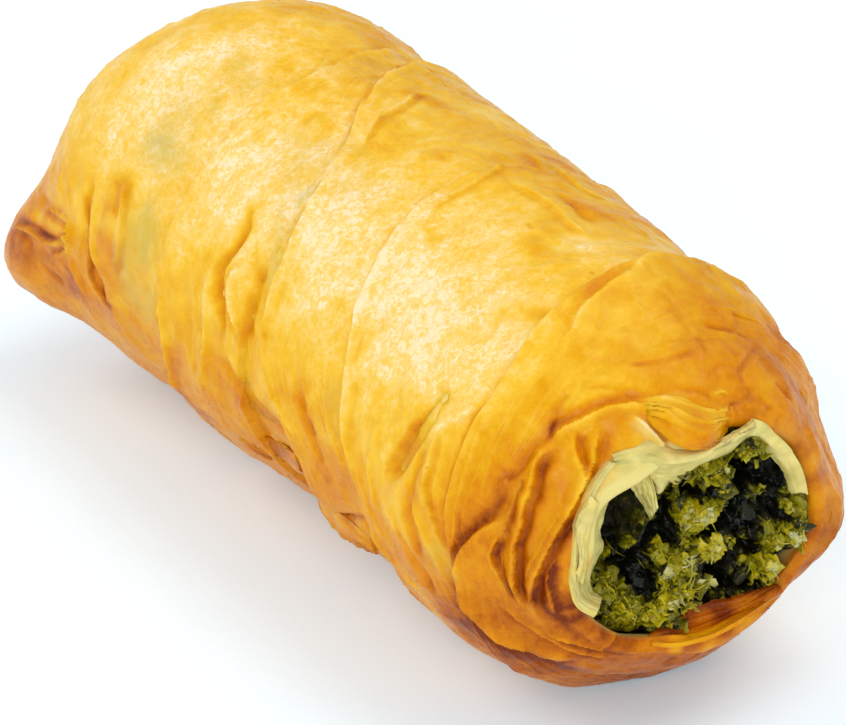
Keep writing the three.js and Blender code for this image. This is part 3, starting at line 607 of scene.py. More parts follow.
# More baking (or less, below nought) laid on with a soft brush: amount, half width in mm, and the pixels that
# the brush passes. Strokes laid along furrows and folds are partly painted shade, and those below nought
# along the crests of the winding's edges are painted highlights.
TONES = [
    (0.42, 0.6, [(83, 205), (84, 232), (87, 259), (94, 286), (108, 306)]),
    (0.2, 0.5, [(11, 227), (24, 233), (38, 236), (54, 236)]),
    (0.2, 0.5, [(40, 206), (54, 214), (66, 232), (64, 250), (50, 254), (34, 248)]),
    (-0.3, 0.9, [(36, 212), (50, 222), (56, 228)]), (-0.2, 1.2, [(40, 264), (60, 274)]),
    (0.24, 1.4, [(10, 240), (30, 262), (56, 278), (80, 292)]),
    (0.5, 0.4, [(320, 502), (328, 511), (337, 515), (350, 519), (360, 526), (369, 535)]),
    (0.3, 3.0, [(12, 244), (26, 256), (44, 264), (62, 272)]),
    (0.18, 1.6, [(32, 240), (52, 254), (68, 262)]), (0.3, 2.2, [(76, 282), (90, 300), (106, 312)]),
    (0.3, 0.7, [(42, 226), (50, 231)]), (0.1, 2.6, [(34, 205), (50, 220)]),
    (0.14, 1.2, [(40, 190), (36, 200)]), (0.2, 0.5, [(91, 178), (87, 200), (84, 222)]),
    (0.42, 1.0, [(121, 184), (117, 196), (112, 208)]), (0.3, 0.8, [(103, 206), (100, 214)]),
    (0.42, 1.7, [(99, 242), (106, 254), (107, 266), (104, 274)]), (0.24, 1.0, [(112, 250), (114, 262)]),
    (0.4, 0.9, [(247, 208), (246, 222), (240, 232), (236, 241)]),
    (0.3, 0.7, [(236, 244), (226, 256), (217, 268), (215, 290), (217, 310), (219, 334)]),
    (0.3, 1.3, [(254, 266), (257, 282), (252, 298), (244, 314), (241, 336)]),
    (0.34, 1.8, [(206, 360), (218, 376), (236, 394), (252, 412), (272, 430), (290, 446)]),
    (0.34, 1.2, [(180, 352), (178, 372), (184, 390), (198, 408), (216, 420)]),
    (0.12, 2.6, [(188, 206), (196, 210)]), (0.14, 2.0, [(164, 244), (168, 262)]),
    (0.22, 0.6, [(268, 338), (268, 352)]), (0.12, 2.0, [(300, 348), (310, 362)]),
    (0.3, 1.0, [(300, 386), (301, 408), (310, 430)]), (0.22, 0.8, [(268, 384), (274, 398)]),
    (0.14, 0.9, [(336, 302), (343, 312)]), (0.24, 0.7, [(360, 344), (358, 372), (355, 398)]),
    (0.12, 0.8, [(354, 408), (351, 440)]), (0.3, 1.2, [(308, 440), (315, 460), (326, 478)]),
    (0.2, 2.4, [(330, 470), (350, 500)]), (0.4, 0.9, [(438, 394), (430, 405), (421, 416)]),
    (0.42, 0.8, [(412, 424), (404, 440), (398, 455), (391, 472)]),
    (0.3, 1.2, [(419, 448), (414, 470), (410, 492), (409, 520), (414, 548)]),
    (0.14, 0.6, [(372, 430), (370, 452)]), (0.18, 0.8, [(470, 332), (480, 330)]),
    (0.22, 0.9, [(488, 316), (500, 310)]), (0.26, 1.0, [(524, 304), (540, 309), (556, 307)]),
    (0.16, 0.8, [(463, 286), (464, 294)]), (0.16, 0.6, [(452, 476), (446, 500)]),
    (0.3, 1.4, [(556, 418), (550, 434), (538, 444), (524, 454), (512, 468), (502, 482)]),
    (0.5, 0.45, [(555, 424), (551, 436)]),
    (0.16, 2.6, [(548, 410), (530, 430), (512, 448), (498, 470), (486, 492)]),
    (0.2, 1.6, [(492, 502), (478, 520), (464, 540), (456, 556)]),
    (0.3, 2.6, [(404, 560), (420, 580), (436, 600), (446, 618)]),
    (0.24, 1.2, [(514, 486), (512, 508), (507, 530), (502, 552)]),
    (0.3, 2.0, [(560, 462), (550, 474), (548, 488), (562, 488), (572, 476)]),
    (0.14, 2.4, [(548, 500), (540, 524)]), (0.24, 2.0, [(604, 424), (606, 440), (612, 452)]),
    (0.3, 0.5, [(579, 436), (576, 448)]), (0.24, 0.6, [(592, 452), (588, 466)]),
    (0.5, 0.8, [(571, 524), (568, 536), (562, 544)]), (0.3, 0.8, [(543, 586), (545, 604), (548, 618)]),
    (0.55, 0.7, [(556, 612), (563, 623), (571, 632), (576, 637)]), (0.2, 1.6, [(580, 624), (592, 630)]),
    (0.5, 0.5, [(606, 622), (613, 627)]), (0.34, 1.8, [(458, 600), (461, 620), (468, 640)]),
    (0.36, 2.2, [(478, 618), (486, 638), (502, 650), (522, 658)]),
    (0.42, 1.6, [(534, 658), (550, 666), (562, 672)]),
    (-0.14, 1.0, [(462, 590), (476, 604), (492, 620), (506, 634), (522, 642)]),
    (-0.12, 1.0, [(536, 638), (550, 648), (562, 654)]),
    (-0.14, 1.2, [(458, 560), (458, 574), (462, 586)]),
    (0.1, 2.2, [(606, 360), (630, 350), (655, 368), (690, 345)]), (0.26, 0.5, [(698, 340), (702, 349)]),
    (0.12, 1.2, [(735, 352), (744, 362)]), (0.2, 1.2, [(740, 380), (750, 392), (744, 400)]),
    (0.14, 1.6, [(780, 330), (800, 360)]), (0.26, 1.2, [(812, 520), (816, 534), (824, 532)]),
    (0.16, 0.6, [(815, 480), (825, 500), (836, 512)]), (-0.12, 3.0, [(596, 244), (620, 250), (636, 240)]),
    (-0.12, 1.4, [(826, 430), (834, 462), (838, 490)]), (-0.12, 1.2, [(768, 372), (776, 388)]),
    (-0.3, 0.5, [(716, 395), (728, 396)]), (-0.34, 0.55, [(742, 406), (742, 420)]),
    (0.12, 2.0, [(700, 268), (694, 288), (706, 304)]), (0.14, 1.6, [(640, 274), (658, 262)]),
    (0.14, 2.4, [(600, 292), (580, 312), (562, 342), (550, 380)]), (-0.1, 2.0, [(664, 282), (640, 296)]),
    (-0.12, 2.0, [(648, 302), (628, 312)]), (0.28, 1.2, [(402, 96), (416, 98), (430, 100), (442, 106)]),
    (0.26, 1.8, [(384, 122), (398, 132), (390, 142), (370, 148), (356, 160)]),
    (0.22, 1.2, [(428, 148), (441, 156)]), (0.18, 0.9, [(426, 117), (434, 119)]),
    (0.2, 0.7, [(461, 109), (468, 115)]), (0.14, 0.8, [(460, 130), (463, 136)]),
    (0.28, 0.9, [(504, 166), (520, 171), (545, 174)]), (0.3, 1.0, [(533, 153), (538, 163)]),
    (0.36, 1.0, [(546, 151), (560, 157), (573, 166)]), (0.22, 0.7, [(534, 184), (548, 190), (557, 193)]),
    (0.2, 0.8, [(508, 191), (514, 193)]), (0.36, 1.1, [(573, 204), (590, 208), (602, 214)]),
    (0.2, 0.6, [(598, 204), (605, 206)]), (0.2, 0.7, [(430, 228), (434, 248)]),
    (0.24, 1.2, [(528, 236), (541, 249)]), (0.18, 0.8, [(543, 222), (549, 228)]),
    (-0.16, 1.5, [(578, 238), (590, 243)]), (0.4, 0.22, [(529, 222), (534, 225)]),
    (0.5, 0.2, [(588, 266), (592, 269)]), (0.4, 0.16, [(469, 233), (472, 234)]),
    (0.2, 2.0, [(612, 284), (602, 294), (622, 292)]), (0.26, 0.7, [(286, 5), (296, 7)]),
    (0.24, 0.9, [(282, 52), (285, 64)]), (0.24, 0.8, [(303, 88), (308, 94)]),
    (0.18, 0.6, [(326, 95), (332, 99)]), (0.24, 0.9, [(308, 117), (322, 113), (320, 130), (314, 136)]),
    (0.18, 0.9, [(224, 126), (240, 128), (252, 129)]), (0.14, 0.8, [(219, 134), (222, 150)]),
    (0.18, 0.6, [(360, 62), (380, 68), (398, 68)]), (0.12, 1.0, [(268, 74), (290, 80)]),
    (0.16, 0.9, [(306, 36), (326, 41), (352, 42)]), (0.14, 1.5, [(366, 28), (392, 38)]),
    (0.18, 1.2, [(240, 10), (200, 15), (180, 24), (162, 32), (144, 48), (128, 64), (116, 80)]),
    (-0.14, 1.2, [(262, 38), (284, 37)]), (-0.16, 2.2, [(166, 72), (190, 58), (216, 48)]),
    (-0.16, 1.2, [(222, 104), (242, 106)]), (-0.12, 1.2, [(112, 130), (108, 146), (118, 156)]),
    # The next two strokes are painted highlights along the crests of the winding's edges.
    (-0.26, 0.9, [(440, 198), (424, 206), (408, 218)]),
    (-0.2, 1.1, [(396, 238), (384, 256), (374, 276), (364, 298), (356, 322)]),
    (-0.1, 4.0, [(330, 240), (340, 290)]), (-0.1, 4.0, [(400, 300), (430, 330), (410, 360)]),
    # A painted highlight on a crest.
    (-0.1, 1.4, [(284, 195), (268, 212)]),
]
# Where the filling shows through the thin dough: amount, half width in mm, pixels.
THIN_PLACES = [
    (0.34, 2.0, [(152, 146), (162, 152), (172, 154)]), (0.2, 3.0, [(180, 110), (160, 125), (160, 140)]),
    (0.16, 1.2, [(212, 80), (210, 110)]), (0.28, 1.6, [(142, 205), (142, 240), (140, 256)]),
    (0.26, 3.2, [(128, 230), (124, 262), (126, 292), (150, 312)]), (0.14, 3.0, [(300, 140), (290, 180)]),
    (0.26, 1.6, [(302, 186), (286, 218), (274, 248), (268, 276)]), (0.22, 2.0, [(236, 60), (244, 74)]),
    (0.12, 3.0, [(330, 150), (360, 190)]), (0.2, 1.4, [(430, 560), (442, 556), (446, 575)]),
    (0.14, 1.6, [(520, 320), (508, 336)]), (0.16, 1.4, [(330, 390), (334, 430)]),
]
# Raw dough beside the mouth: amount, half width in mm, pixels.
RAW_PLACES = [
    (1.3, 0.9, [(622, 468), (640, 466), (662, 464), (684, 460), (706, 453), (728, 444), (746, 434)]),
    (0.9, 0.8, [(636, 476), (656, 474), (680, 470)]), (0.5, 0.7, [(640, 424), (654, 436), (664, 446)]),
]
# Folds on the sides that the photograph does not show: half width and height in mm, baking, places.
CREASES = [
    (0.8, 0.4, 0.02, [(20, 12), (14, 2), (8, -10), (4, -22)]),
    (0.8, -0.4, 0.08, [(-6, 20), (-12, 6), (-16, -8), (-18, -20)]),
    (0.8, 0.4, 0.02, [(34, 18), (30, 4), (26, -10), (24, -24)]),
    (0.7, -0.4, 0.1, [(46, 30), (44, 16), (45, 2), (44, -14)]),
    (0.8, 0.5, -0.04, [(-30, 50), (-33, 34), (-32, 18), (-34, 4)]),
    (0.7, -0.5, 0.12, [(-42, 40), (-44, 20), (-43, 0), (-45, -20)]),
    (0.8, 0.4, -0.04, [(2, 40), (4, 24), (2, 8), (5, -8)]),
    (0.6, -0.4, 0.14, [(56, 40), (57, 20), (55, 0), (57, -20)]),
]
# Paling of fold crests is partly painted highlight; browning of furrows and beside steep sides is partly
# painted shade.
FOLD_PALE_AND_HIGHLIGHT, FOLD_BROWN_AND_SHADE = 1.9, 1.05  # shares at which the paling and the browning of folds count
TONE_SHARE = 0.62
BROWN_KNEE = 0.6  # browning above this counts less, so that crossing marks do not burn
BROWN_ABOVE = 0.65
LINE_LIFT = 0.3  # mm above the plain crust at which pixels are looked up
LINE_STEP = 1.4
LINE_REACH = 3.4  # mm round a line within which it is felt
LINE_FADE = 0.16  # share of a line over which it fades out at either end
STEEP_SHARE = 0.34
GROOVE_SHARE = 0.3  # depth of the groove beside a fold as a share of its height
MISSED = 0.3  # a pixel whose ray ends further than this from the crust is left out


def seen_line(pixels):
    """Points on the crust under the pixels, cut into steps of LINE_STEP; pixels beside the roll are left
    out."""
    columns, rows = np.transpose(pixels)
    along, turn = seen_on_crust(columns, rows, LINE_LIFT)
    points = crust(along, turn, LINE_LIFT)
    kept = points[np.linalg.norm(seen(columns, rows, points[:, 0]) - points, axis=1) < MISSED]
    return stepped(kept) if len(kept) > 1 else None


def stepped(points):
    """A smooth line through the points, cut into steps of LINE_STEP."""
    line = resample(points, 8 * len(points))
    length = np.linalg.norm(np.diff(line, axis=0), axis=1).sum()
    return resample(line, max(int(length / LINE_STEP), 2) + 1)


def beside_line(points, normals, line):
    """For the points near a line: which they are, how far they are from it, below nought on the side to
    the left of a line read downwards, and where along it, from 0 to 1."""
    low, high = line.min(0) - LINE_REACH, line.max(0) + LINE_REACH
    near = np.flatnonzero(((points > low) & (points < high)).all(1))
    best = np.full(len(near), 1e9)
    share = np.zeros(len(near))
    side = np.ones(len(near))
    here, out = points[near], normals[near]
    for k in range(len(line) - 1):
        start, leg = line[k], line[k + 1] - line[k]
        offset = here - start
        t = np.clip(offset @ leg / (leg @ leg), 0, 1)
        offset = offset - t[:, None] * leg
        away = np.linalg.norm(offset, axis=1)
        closer = away < best
        best = np.where(closer, away, best)
        share = np.where(closer, (k + t) / (len(line) - 1), share)
        side = np.where(closer, -np.sign((np.cross(leg, out) * offset).sum(1)), side)
    return near, best * side, share


def fold_fields(points, normals):
    """Height and baking of all folds: on the gentle side a bell of the distance, on the steep side a bell
    STEEP_SHARE as wide, with a groove 0.85 widths away; both fade towards the line's ends. The baking is
    partly painted light: paler on raised crests as a painted highlight, darker down furrows and beside the
    steep side as painted shade."""
    height = np.zeros(len(points))
    bake = np.zeros(len(points))
    hidden = [
        (width, tall, 0, brown, 0, stepped(crust(*np.transpose(places))))
        for width, tall, brown, places in CREASES]
    shown = [(*fold[:5], seen_line(fold[5])) for fold in FOLDS]
    for width, tall, steep, crest, beside, line in hidden + shown:
        if line is None:
            continue
        near, away, share = beside_line(points, normals, line)
        fade = smooth(share, 0, LINE_FADE) * smooth(1 - share, 0, LINE_FADE)
        away = away * (steep or 1)
        narrow = STEEP_SHARE if steep else 1.0
        steep_side = bell(away / (narrow * width))
        shape = np.where(away < 0, bell(away / width), steep_side)
        groove = bell((away - 0.85 * width) / (0.5 * width)) * (steep != 0)
        height[near] += (tall * shape - GROOVE_SHARE * abs(tall) * groove) * fade
        crest = crest * (FOLD_PALE_AND_HIGHLIGHT if crest < 0 else FOLD_BROWN_AND_SHADE)
        crest_share = np.where(away < 0, bell(away / (0.7 * width)), steep_side)
        beside_share = bell((away - 0.9 * width) / (0.9 * width)) * (away > 0)
        bake[near] += (crest * crest_share + FOLD_BROWN_AND_SHADE * beside * beside_share) * fade
    return height, bake


def brushed(points, normals, strokes, warp):
    """Sum of amount times a bell (0.8 of the distance over the width, to the power 1.1) of the distance to
    each stroke, the places moved by soft noise."""
    total = np.zeros(len(points))
    moved = points + warp
    for amount, width, pixels in strokes:
        line = seen_line(pixels)
        if line is None:
            continue
        near, away, _ = beside_line(moved, normals, line)
        total[near] += amount * bell(0.8 * away / width) ** 1.1
    return total


def blot(along, turn, warp, patches):
    """Sum of amount times a bell (0.85 of the distance, to the power 1.2) of the distance to each patch
    over its size, the distances bent by soft noise."""
    _, _, radial = outline(along)
    total = np.zeros(np.shape(along))
    for middle, middle_turn, length, girth, amount in patches:
        across = np.radians(turned(turn, middle_turn)) * ROLL_RADIUS * radial
        far = np.hypot((along - middle + warp[..., 0]) / length, (across + warp[..., 1]) / girth)
        total = total + amount * bell(far * 0.85) ** 1.2
    return total


def bent(points, size, seed):
    """Two soft noises side by side, used to bend the outlines of patches."""
    return np.stack([grain(points, size, seed), grain(points, size, seed + 1)], -1)


def resample(points, count):
    """Evenly spaced points on a curve through the given ones: cubic pieces over the distance walked."""
    points = np.asarray(points, float)
    walked = np.concatenate([[0], np.cumsum(np.linalg.norm(np.diff(points, axis=0), axis=1))])
    at = np.linspace(0, walked[-1], count)
    i = np.clip(np.searchsorted(walked, at) - 1, 0, len(points) - 2)
    width = (walked[i + 1] - walked[i])[:, None]
    t = ((at - walked[i])[:, None]) / width
    slope = np.gradient(points, walked, axis=0)
    return cubic(points[i], points[i + 1], width * slope[i], width * slope[i + 1], t)


def crust_detail(along, turn, sizes):
    """Height of the fine relief and the looks of the crust at each place. Lumps are soft noise, crumples
    and blisters thin crests of noise, weighted by how pale the crust is there."""
    shape = np.shape(along)
    along, turn = np.ravel(along), np.ravel(turn)
    points = crust(along, turn)
    normals = crust_normal(along, turn)
    warp = bent(points, 4.2, 11) * 2.4 + bent(points, 1.4, 13) * 0.8
    warped = points + warp[:, :1]
    shake = shaken(points, 2.6, 0.9, 15) * 0.55
    pale = np.clip(blot(along, turn, warp, PALE_PATCHES), 0, 1)
    fold, fold_bake_and_painted_light = fold_fields(points + 0.35 * shake, normals)
    lump = sizes.lump / MM
    blister = sizes.blister / MM
    height = lump * (layered(points, LUMP_LAYERS) + 0.35 * grain(warped, 1.8, 26))
    height += 0.5 * lump * ridges(warped, 5.0, 23)
    height += blister * (0.35 + pale) * (ridges(points, 1.7, 24) - 0.3)
    height += 0.6 * blister * (0.3 + pale) * grain(points, 0.8, 25)
    height += fold
    height *= smooth(points[:, 2], *FLOOR_FADE)
    round_turn = (turn + 90) % 360 - 90
    round_turn = np.where(round_turn > 270, round_turn - 360, round_turn)
    pole_share = smooth(along, *POLE_FADE)
    bake = mix(POLE_BAKE, through(BAKE_ROUND, round_turn), pole_share) + through(BAKE_ALONG, along)
    # The folds and the brushed tones add painted shade in furrows and grooves and painted highlights on
    # crests to the baking.
    bake += blot(along, turn, warp, BAKE_PATCHES) + fold_bake_and_painted_light
    bake += TONE_SHARE * brushed(points, normals, TONES, shake) + layered(points, BAKE_LAYERS)
    bake += SPECKLE * np.clip(grain(points + warp[:, :1] * 0.5, 1.7, 34) - 0.35, 0, 1) * (0.5 + pale)
    bake -= SPECKLE * pale * np.clip(grain(points, 0.75, 35) - 0.1, 0, 1)
    bake = np.minimum(bake, BROWN_KNEE) + BROWN_ABOVE * np.maximum(bake - BROWN_KNEE, 0)
    green = blot(along, turn, warp, GREEN_PATCHES) + brushed(points, normals, THIN_PLACES, shake)
    green *= 1.15 + 0.6 * grain(points, 1.6, 36)
    raw = brushed(points, normals, RAW_PLACES, 0.5 * shake)
    limits = ((height, -9, 9), (bake, 0, 1.05), (green, 0, 1), (raw, 0, 1))
    return [np.clip(field, low, high).reshape(shape) for field, low, high in limits]


# ---- Meshes from arrays -----------------------------------------------------------------------


def around(columns):
    """One row of turns, evenly spaced all round."""
    return (np.arange(columns) * 360 / columns)[None]


def grid_quads(rows, columns, start=0, closed=False, flip=False):
    """Corner numbers of the quads of a grid whose points run along its columns first."""
    i = np.arange(rows - 1)[:, None]
    j = np.arange(columns if closed else columns - 1)[None]
    beside = (j + 1) % columns
    quads = np.stack(np.broadcast_arrays(
        i * columns + j, i * columns + beside, (i + 1) * columns + beside, (i + 1) * columns + j), -1)
    quads = quads.reshape(-1, 4) + start
    return quads[:, ::-1] if flip else quads


def end_fans(columns, count):
    """Triangles that close the first and the last ring of a tube of count points, with the two points
    that follow them as their middles."""
    first = np.arange(columns)
    beside = (first + 1) % columns
    last = count - columns
    return [np.stack([np.full(columns, count), beside, first], -1),
            np.stack([np.full(columns, count + 1), last + first, last + beside], -1)]


def rim_quads(rows, columns):
    """Quads that join the border of a grid to the border of another one numbered after it."""
    count = rows * columns
    number = np.arange(count).reshape(rows, columns)
    border = np.concatenate([number[0, :-1], number[:-1, -1], number[-1, :0:-1], number[:0:-1, 0]])
    beside = np.roll(border, -1)
    return np.stack([border, border + count, beside + count, beside], -1)


def repeated(polygons, count, points_each):
    """The polygons of one small shape numbered on for each of count shapes."""
    start = (np.arange(count) * points_each)[:, None, None]
    return (polygons[None] + start).reshape(-1, polygons.shape[1])


def make_piece(name, points, polygons, looks, material):
    """A smooth-shaded mesh object from roll millimetres. polygons is a list of arrays of corner numbers,
    each with its own number of corners; looks maps attribute names to one value per point."""
    mesh = bpy.data.meshes.new(name)
    points = (np.asarray(points, float).reshape(-1, 3) + SHIFT) * MM
    mesh.vertices.add(len(points))
    mesh.vertices.foreach_set("co", points.astype(np.float32).ravel())
    sizes = np.concatenate([np.full(len(p), p.shape[1]) for p in polygons]).astype(np.int32)
    corners = np.concatenate([p.ravel() for p in polygons]).astype(np.int32)
    mesh.loops.add(len(corners))
    mesh.loops.foreach_set("vertex_index", corners)
    mesh.polygons.add(len(sizes))
    mesh.polygons.foreach_set("loop_start", np.concatenate([[0], np.cumsum(sizes)[:-1]]).astype(np.int32))
    mesh.update(calc_edges=True)
    mesh.validate()
    mesh.polygons.foreach_set("use_smooth", np.ones(len(mesh.polygons), bool))
    for key, values in looks.items():
        layer = mesh.attributes.new(key, "FLOAT", "POINT")
        layer.data.foreach_set("value", np.asarray(values, np.float32).ravel())
    mesh.materials.append(material)
    piece = bpy.data.objects.new(name, mesh)
    bpy.context.scene.collection.objects.link(piece)
    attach(piece, "root")
    return piece


def sheet_normals(surface):
    """Unit normals of a grid of points, from the differences along its columns and rows."""
    return unit(np.cross(np.gradient(surface, axis=1), np.gradient(surface, axis=0)))


def sheet_mesh(surface, thickness):
    """Points and quads of a closed sheet: the surface moved half its thickness each way along its
    normals, and the two sides joined round their border."""
    rows, columns = surface.shape[:2]
    half = sheet_normals(surface) * (np.broadcast_to(thickness, (rows, columns)) / 2)[..., None]
    points = np.concatenate([(surface + half).reshape(-1, 3), (surface - half).reshape(-1, 3)])
    top = grid_quads(rows, columns, flip=True)
    under = grid_quads(rows, columns, start=rows * columns)
    return points, np.concatenate([top, under, rim_quads(rows, columns)])


def loft(lines, rows, columns):
    """A surface through the given curves: each is cut evenly, and a cubic curve passes through the
    matching points of all of them."""
    cut = np.stack([resample(line, columns) for line in lines])
    at = np.linspace(0, len(lines) - 1, rows)
    i = np.clip(np.floor(at).astype(int), 0, len(lines) - 2)
    t = (at - i)[:, None, None]
    slope = np.gradient(cut, axis=0)
    return cubic(cut[i], cut[i + 1], slope[i], slope[i + 1], t)


# ---- Materials --------------------------------------------------------------------------------


class Recipe:
    """Short ways to place shader nodes in a material."""

    def __init__(self, name):
        self.material = bpy.data.materials.new(name)
        self.material.use_nodes = True
        self.tree = self.material.node_tree
        self.tree.nodes.clear()
        self.surface = self.tree.nodes.new("ShaderNodeBsdfPrincipled")
        out = self.tree.nodes.new("ShaderNodeOutputMaterial")
        self.tree.links.new(self.surface.outputs[0], out.inputs[0])
        self.place = self.tree.nodes.new("ShaderNodeTexCoord").outputs["Object"]

    def link(self, socket, value):
        if isinstance(value, bpy.types.NodeSocket):
            self.tree.links.new(value, socket)
        else:
            socket.default_value = value

    def attribute(self, name):
        node = self.tree.nodes.new("ShaderNodeAttribute")
        node.attribute_name = name
        return node.outputs["Fac"]

    def noise(self, size_mm, detail=3.0, roughness=0.55, distortion=0.0):
        node = self.tree.nodes.new("ShaderNodeTexNoise")
        self.link(node.inputs["Vector"], self.place)
        node.inputs["Scale"].default_value = 1 / (size_mm * MM)
        node.inputs["Detail"].default_value = detail
        node.inputs["Roughness"].default_value = roughness
        node.inputs["Distortion"].default_value = distortion
        return node.outputs["Fac"]

    def maths(self, kind, a, b, clamp=False):
        node = self.tree.nodes.new("ShaderNodeMath")
        node.operation = kind
        node.use_clamp = clamp
        self.link(node.inputs[0], a)
        self.link(node.inputs[1], b)
        return node.outputs[0]

    def ranged(self, value, from_low, from_high, to_low, to_high):
        node = self.tree.nodes.new("ShaderNodeMapRange")
        self.link(node.inputs["Value"], value)
        ends = {"From Min": from_low, "From Max": from_high, "To Min": to_low, "To Max": to_high}
        for key, number in ends.items():
            node.inputs[key].default_value = number
        return node.outputs[0]

    def ramp(self, value, stops):
        node = self.tree.nodes.new("ShaderNodeValToRGB")
        self.link(node.inputs[0], value)
        marks = node.color_ramp.elements
        while len(marks) < len(stops):
            marks.new(0.5)
        for mark, (position, colour) in zip(marks, stops):
            mark.position = position
            mark.color = (*colour, 1)
        return node.outputs[0]

    def blend(self, share, a, b):
        node = self.tree.nodes.new("ShaderNodeMix")
        node.data_type = "RGBA"
        self.link(node.inputs["Factor"], share)
        for socket, value in ((node.inputs[6], a), (node.inputs[7], b)):
            self.link(socket, value if isinstance(value, bpy.types.NodeSocket) else (*value, 1))
        return node.outputs[2]

    def bump(self, height, distance_mm, strength=1.0, below=None):
        node = self.tree.nodes.new("ShaderNodeBump")
        node.inputs["Distance"].default_value = distance_mm * MM
        node.inputs["Strength"].default_value = strength
        self.link(node.inputs["Height"], height)
        if below is not None:
            self.link(node.inputs["Normal"], below)
        return node.outputs[0]

    def finished(self, inputs):
        for name, value in inputs.items():
            self.link(self.surface.inputs[name], value)
        return self.material


# Near black for painted shade deep in the filling's gaps and hollow, and a pale olive for painted glints on
# its wet crests.
PAINTED_GAP_SHADE = (0.001, 0.0015, 0.0005)
PAINTED_GLINT = (0.55, 0.56, 0.28)
PAPER_COLOURS = ((0.87, 0.92, 0.95), (0.88, 0.93, 0.96))
PAPER_GLOW = (0.45, 0.82, 1.0)


def baked_crust(colours):
    """Crust: the baking attribute, which also carries painted shade in furrows and grooves and painted
    highlights on crests, and fine noise pick the colour, thin dough lets the filling's green through, raw
    dough is pale, the pale crust is dry and speckled and the browned one glossy with fat."""
    recipe = Recipe("baked_crust")
    fine = recipe.noise(0.5, 4.0, 0.65, 0.6)
    specks = recipe.noise(0.85, 2.0, 0.5, 1.2)
    broad = recipe.noise(2.4, 3.0, 0.55, 0.8)
    given = recipe.attribute("bake")
    dry = recipe.ranged(given, 0.12, 0.42, 1.0, 0.0)
    shift = recipe.maths("MULTIPLY", recipe.ranged(specks, 0.35, 0.65, 0.12, -0.1), dry)
    bake = recipe.maths("ADD", given, recipe.ranged(fine, 0.25, 0.75, -0.05, 0.05))
    bake = recipe.maths("ADD", bake, shift)
    bake = recipe.maths("ADD", bake, recipe.ranged(broad, 0.25, 0.75, -0.05, 0.05), clamp=True)
    colour = recipe.ramp(bake, [
        (0.0, colours.cream), (0.16, colours.pale), (0.34, colours.yellow), (0.52, colours.golden),
        (0.7, colours.orange), (0.86, colours.brown), (1.0, colours.dark)])
    colour = recipe.blend(recipe.attribute("raw"), colour, colours.dough)
    colour = recipe.blend(recipe.attribute("green"), colour, colours.show_through)
    gloss = recipe.maths("MULTIPLY", dry, 0.2)
    roughness = recipe.ranged(recipe.noise(1.3, 3.0), 0.3, 0.7, 0.24, 0.42)
    blisters = recipe.bump(fine, 0.04, 0.7)
    rough = recipe.maths("MULTIPLY", specks, recipe.maths("ADD", dry, 0.25))
    return recipe.finished({
        "Base Color": colour,
        "Roughness": recipe.maths("ADD", roughness, gloss),
        "Subsurface Weight": 0.25,
        "Subsurface Radius": (1.0, 0.5, 0.14),
        "Subsurface Scale": 1.0 * MM,
        "Specular IOR Level": 0.12,
        "Normal": recipe.bump(rough, 0.1, 0.8, blisters),
    })


def moist_leaf(colours):
    """Filling: the tone attribute, which carries painted shade in the gaps and hollow and painted glints on
    the crests, and fine noise pick the colour from dark to light, wet and glossy.
    """
    recipe = Recipe("moist_leaf")
    fine = recipe.noise(0.5, 4.0, 0.65, 0.5)
    shift = recipe.ranged(fine, 0.25, 0.75, -0.14, 0.14)
    tone = recipe.maths("ADD", recipe.attribute("fresh"), shift, clamp=True)
    colour = recipe.ramp(tone, [
        (0.0, PAINTED_GAP_SHADE), (0.22, colours.leaf_dark), (0.46, colours.leaf_mid),
        (0.74, colours.leaf_light), (1.0, PAINTED_GLINT)])
    return recipe.finished({
        "Base Color": colour,
        "Roughness": recipe.ranged(fine, 0.3, 0.7, 0.22, 0.5),
        "Subsurface Weight": 0.12,
        "Subsurface Radius": (0.6, 1.0, 0.3),
        "Subsurface Scale": 0.5 * MM,
        "Coat Weight": 0.08,
        "Specular IOR Level": 0.25,
        "Coat Roughness": 0.15,
        "Normal": recipe.bump(recipe.noise(0.3, 4.0, 0.65), 0.12, 0.9),
    })


def stage_paper():
    """The floor: a plain, pale and matt light table, with the faintest mottling."""
    recipe = Recipe("stage_paper")
    shade = recipe.ranged(recipe.noise(40.0, 2.0), 0.3, 0.7, 0.0, 1.0)
    return recipe.finished({
        "Base Color": recipe.blend(shade, *PAPER_COLOURS),
        "Emission Color": (*PAPER_GLOW, 1),
        "Emission Strength": 0.22,
        "Roughness": 0.75,
        "Specular IOR Level": 0.2,
    })


def finish_named(name, maker):
    """The material of this name, made when it is first asked for."""
    return bpy.data.materials.get(name) or maker(bpy.context.scene.borek_colours)


# ---- Core, closed end and winding --------------------------------------------------------------

CORE_COLUMNS = 560
END_ROWS = 172
END_CUT = -18.0  # the closed end runs under the winding to here
GATHER_LENGTH = 9.0  # mm from the far pole over which the relief comes in
COVERED_END = 49.0  # the body is plain and coarse under the winding up to here
NEAR_ROWS = 78
COVERED_ROWS = 14
LIP_STEPS = 10
NECK_ROWS = 30
CAVITY_ROWS = 12
NECK_LUMP = 0.3
# Raw dough folds over the open dome between these turns, out to a distance from the middle line that
# grows towards the top and is drawn in again at the left.
DOUGH_TURNS = ((88, 100), (166, 182))
DOUGH_REACH, DOUGH_REACH_TOP, DOUGH_DRAWN_IN = 14.6, 16.2, 1.4
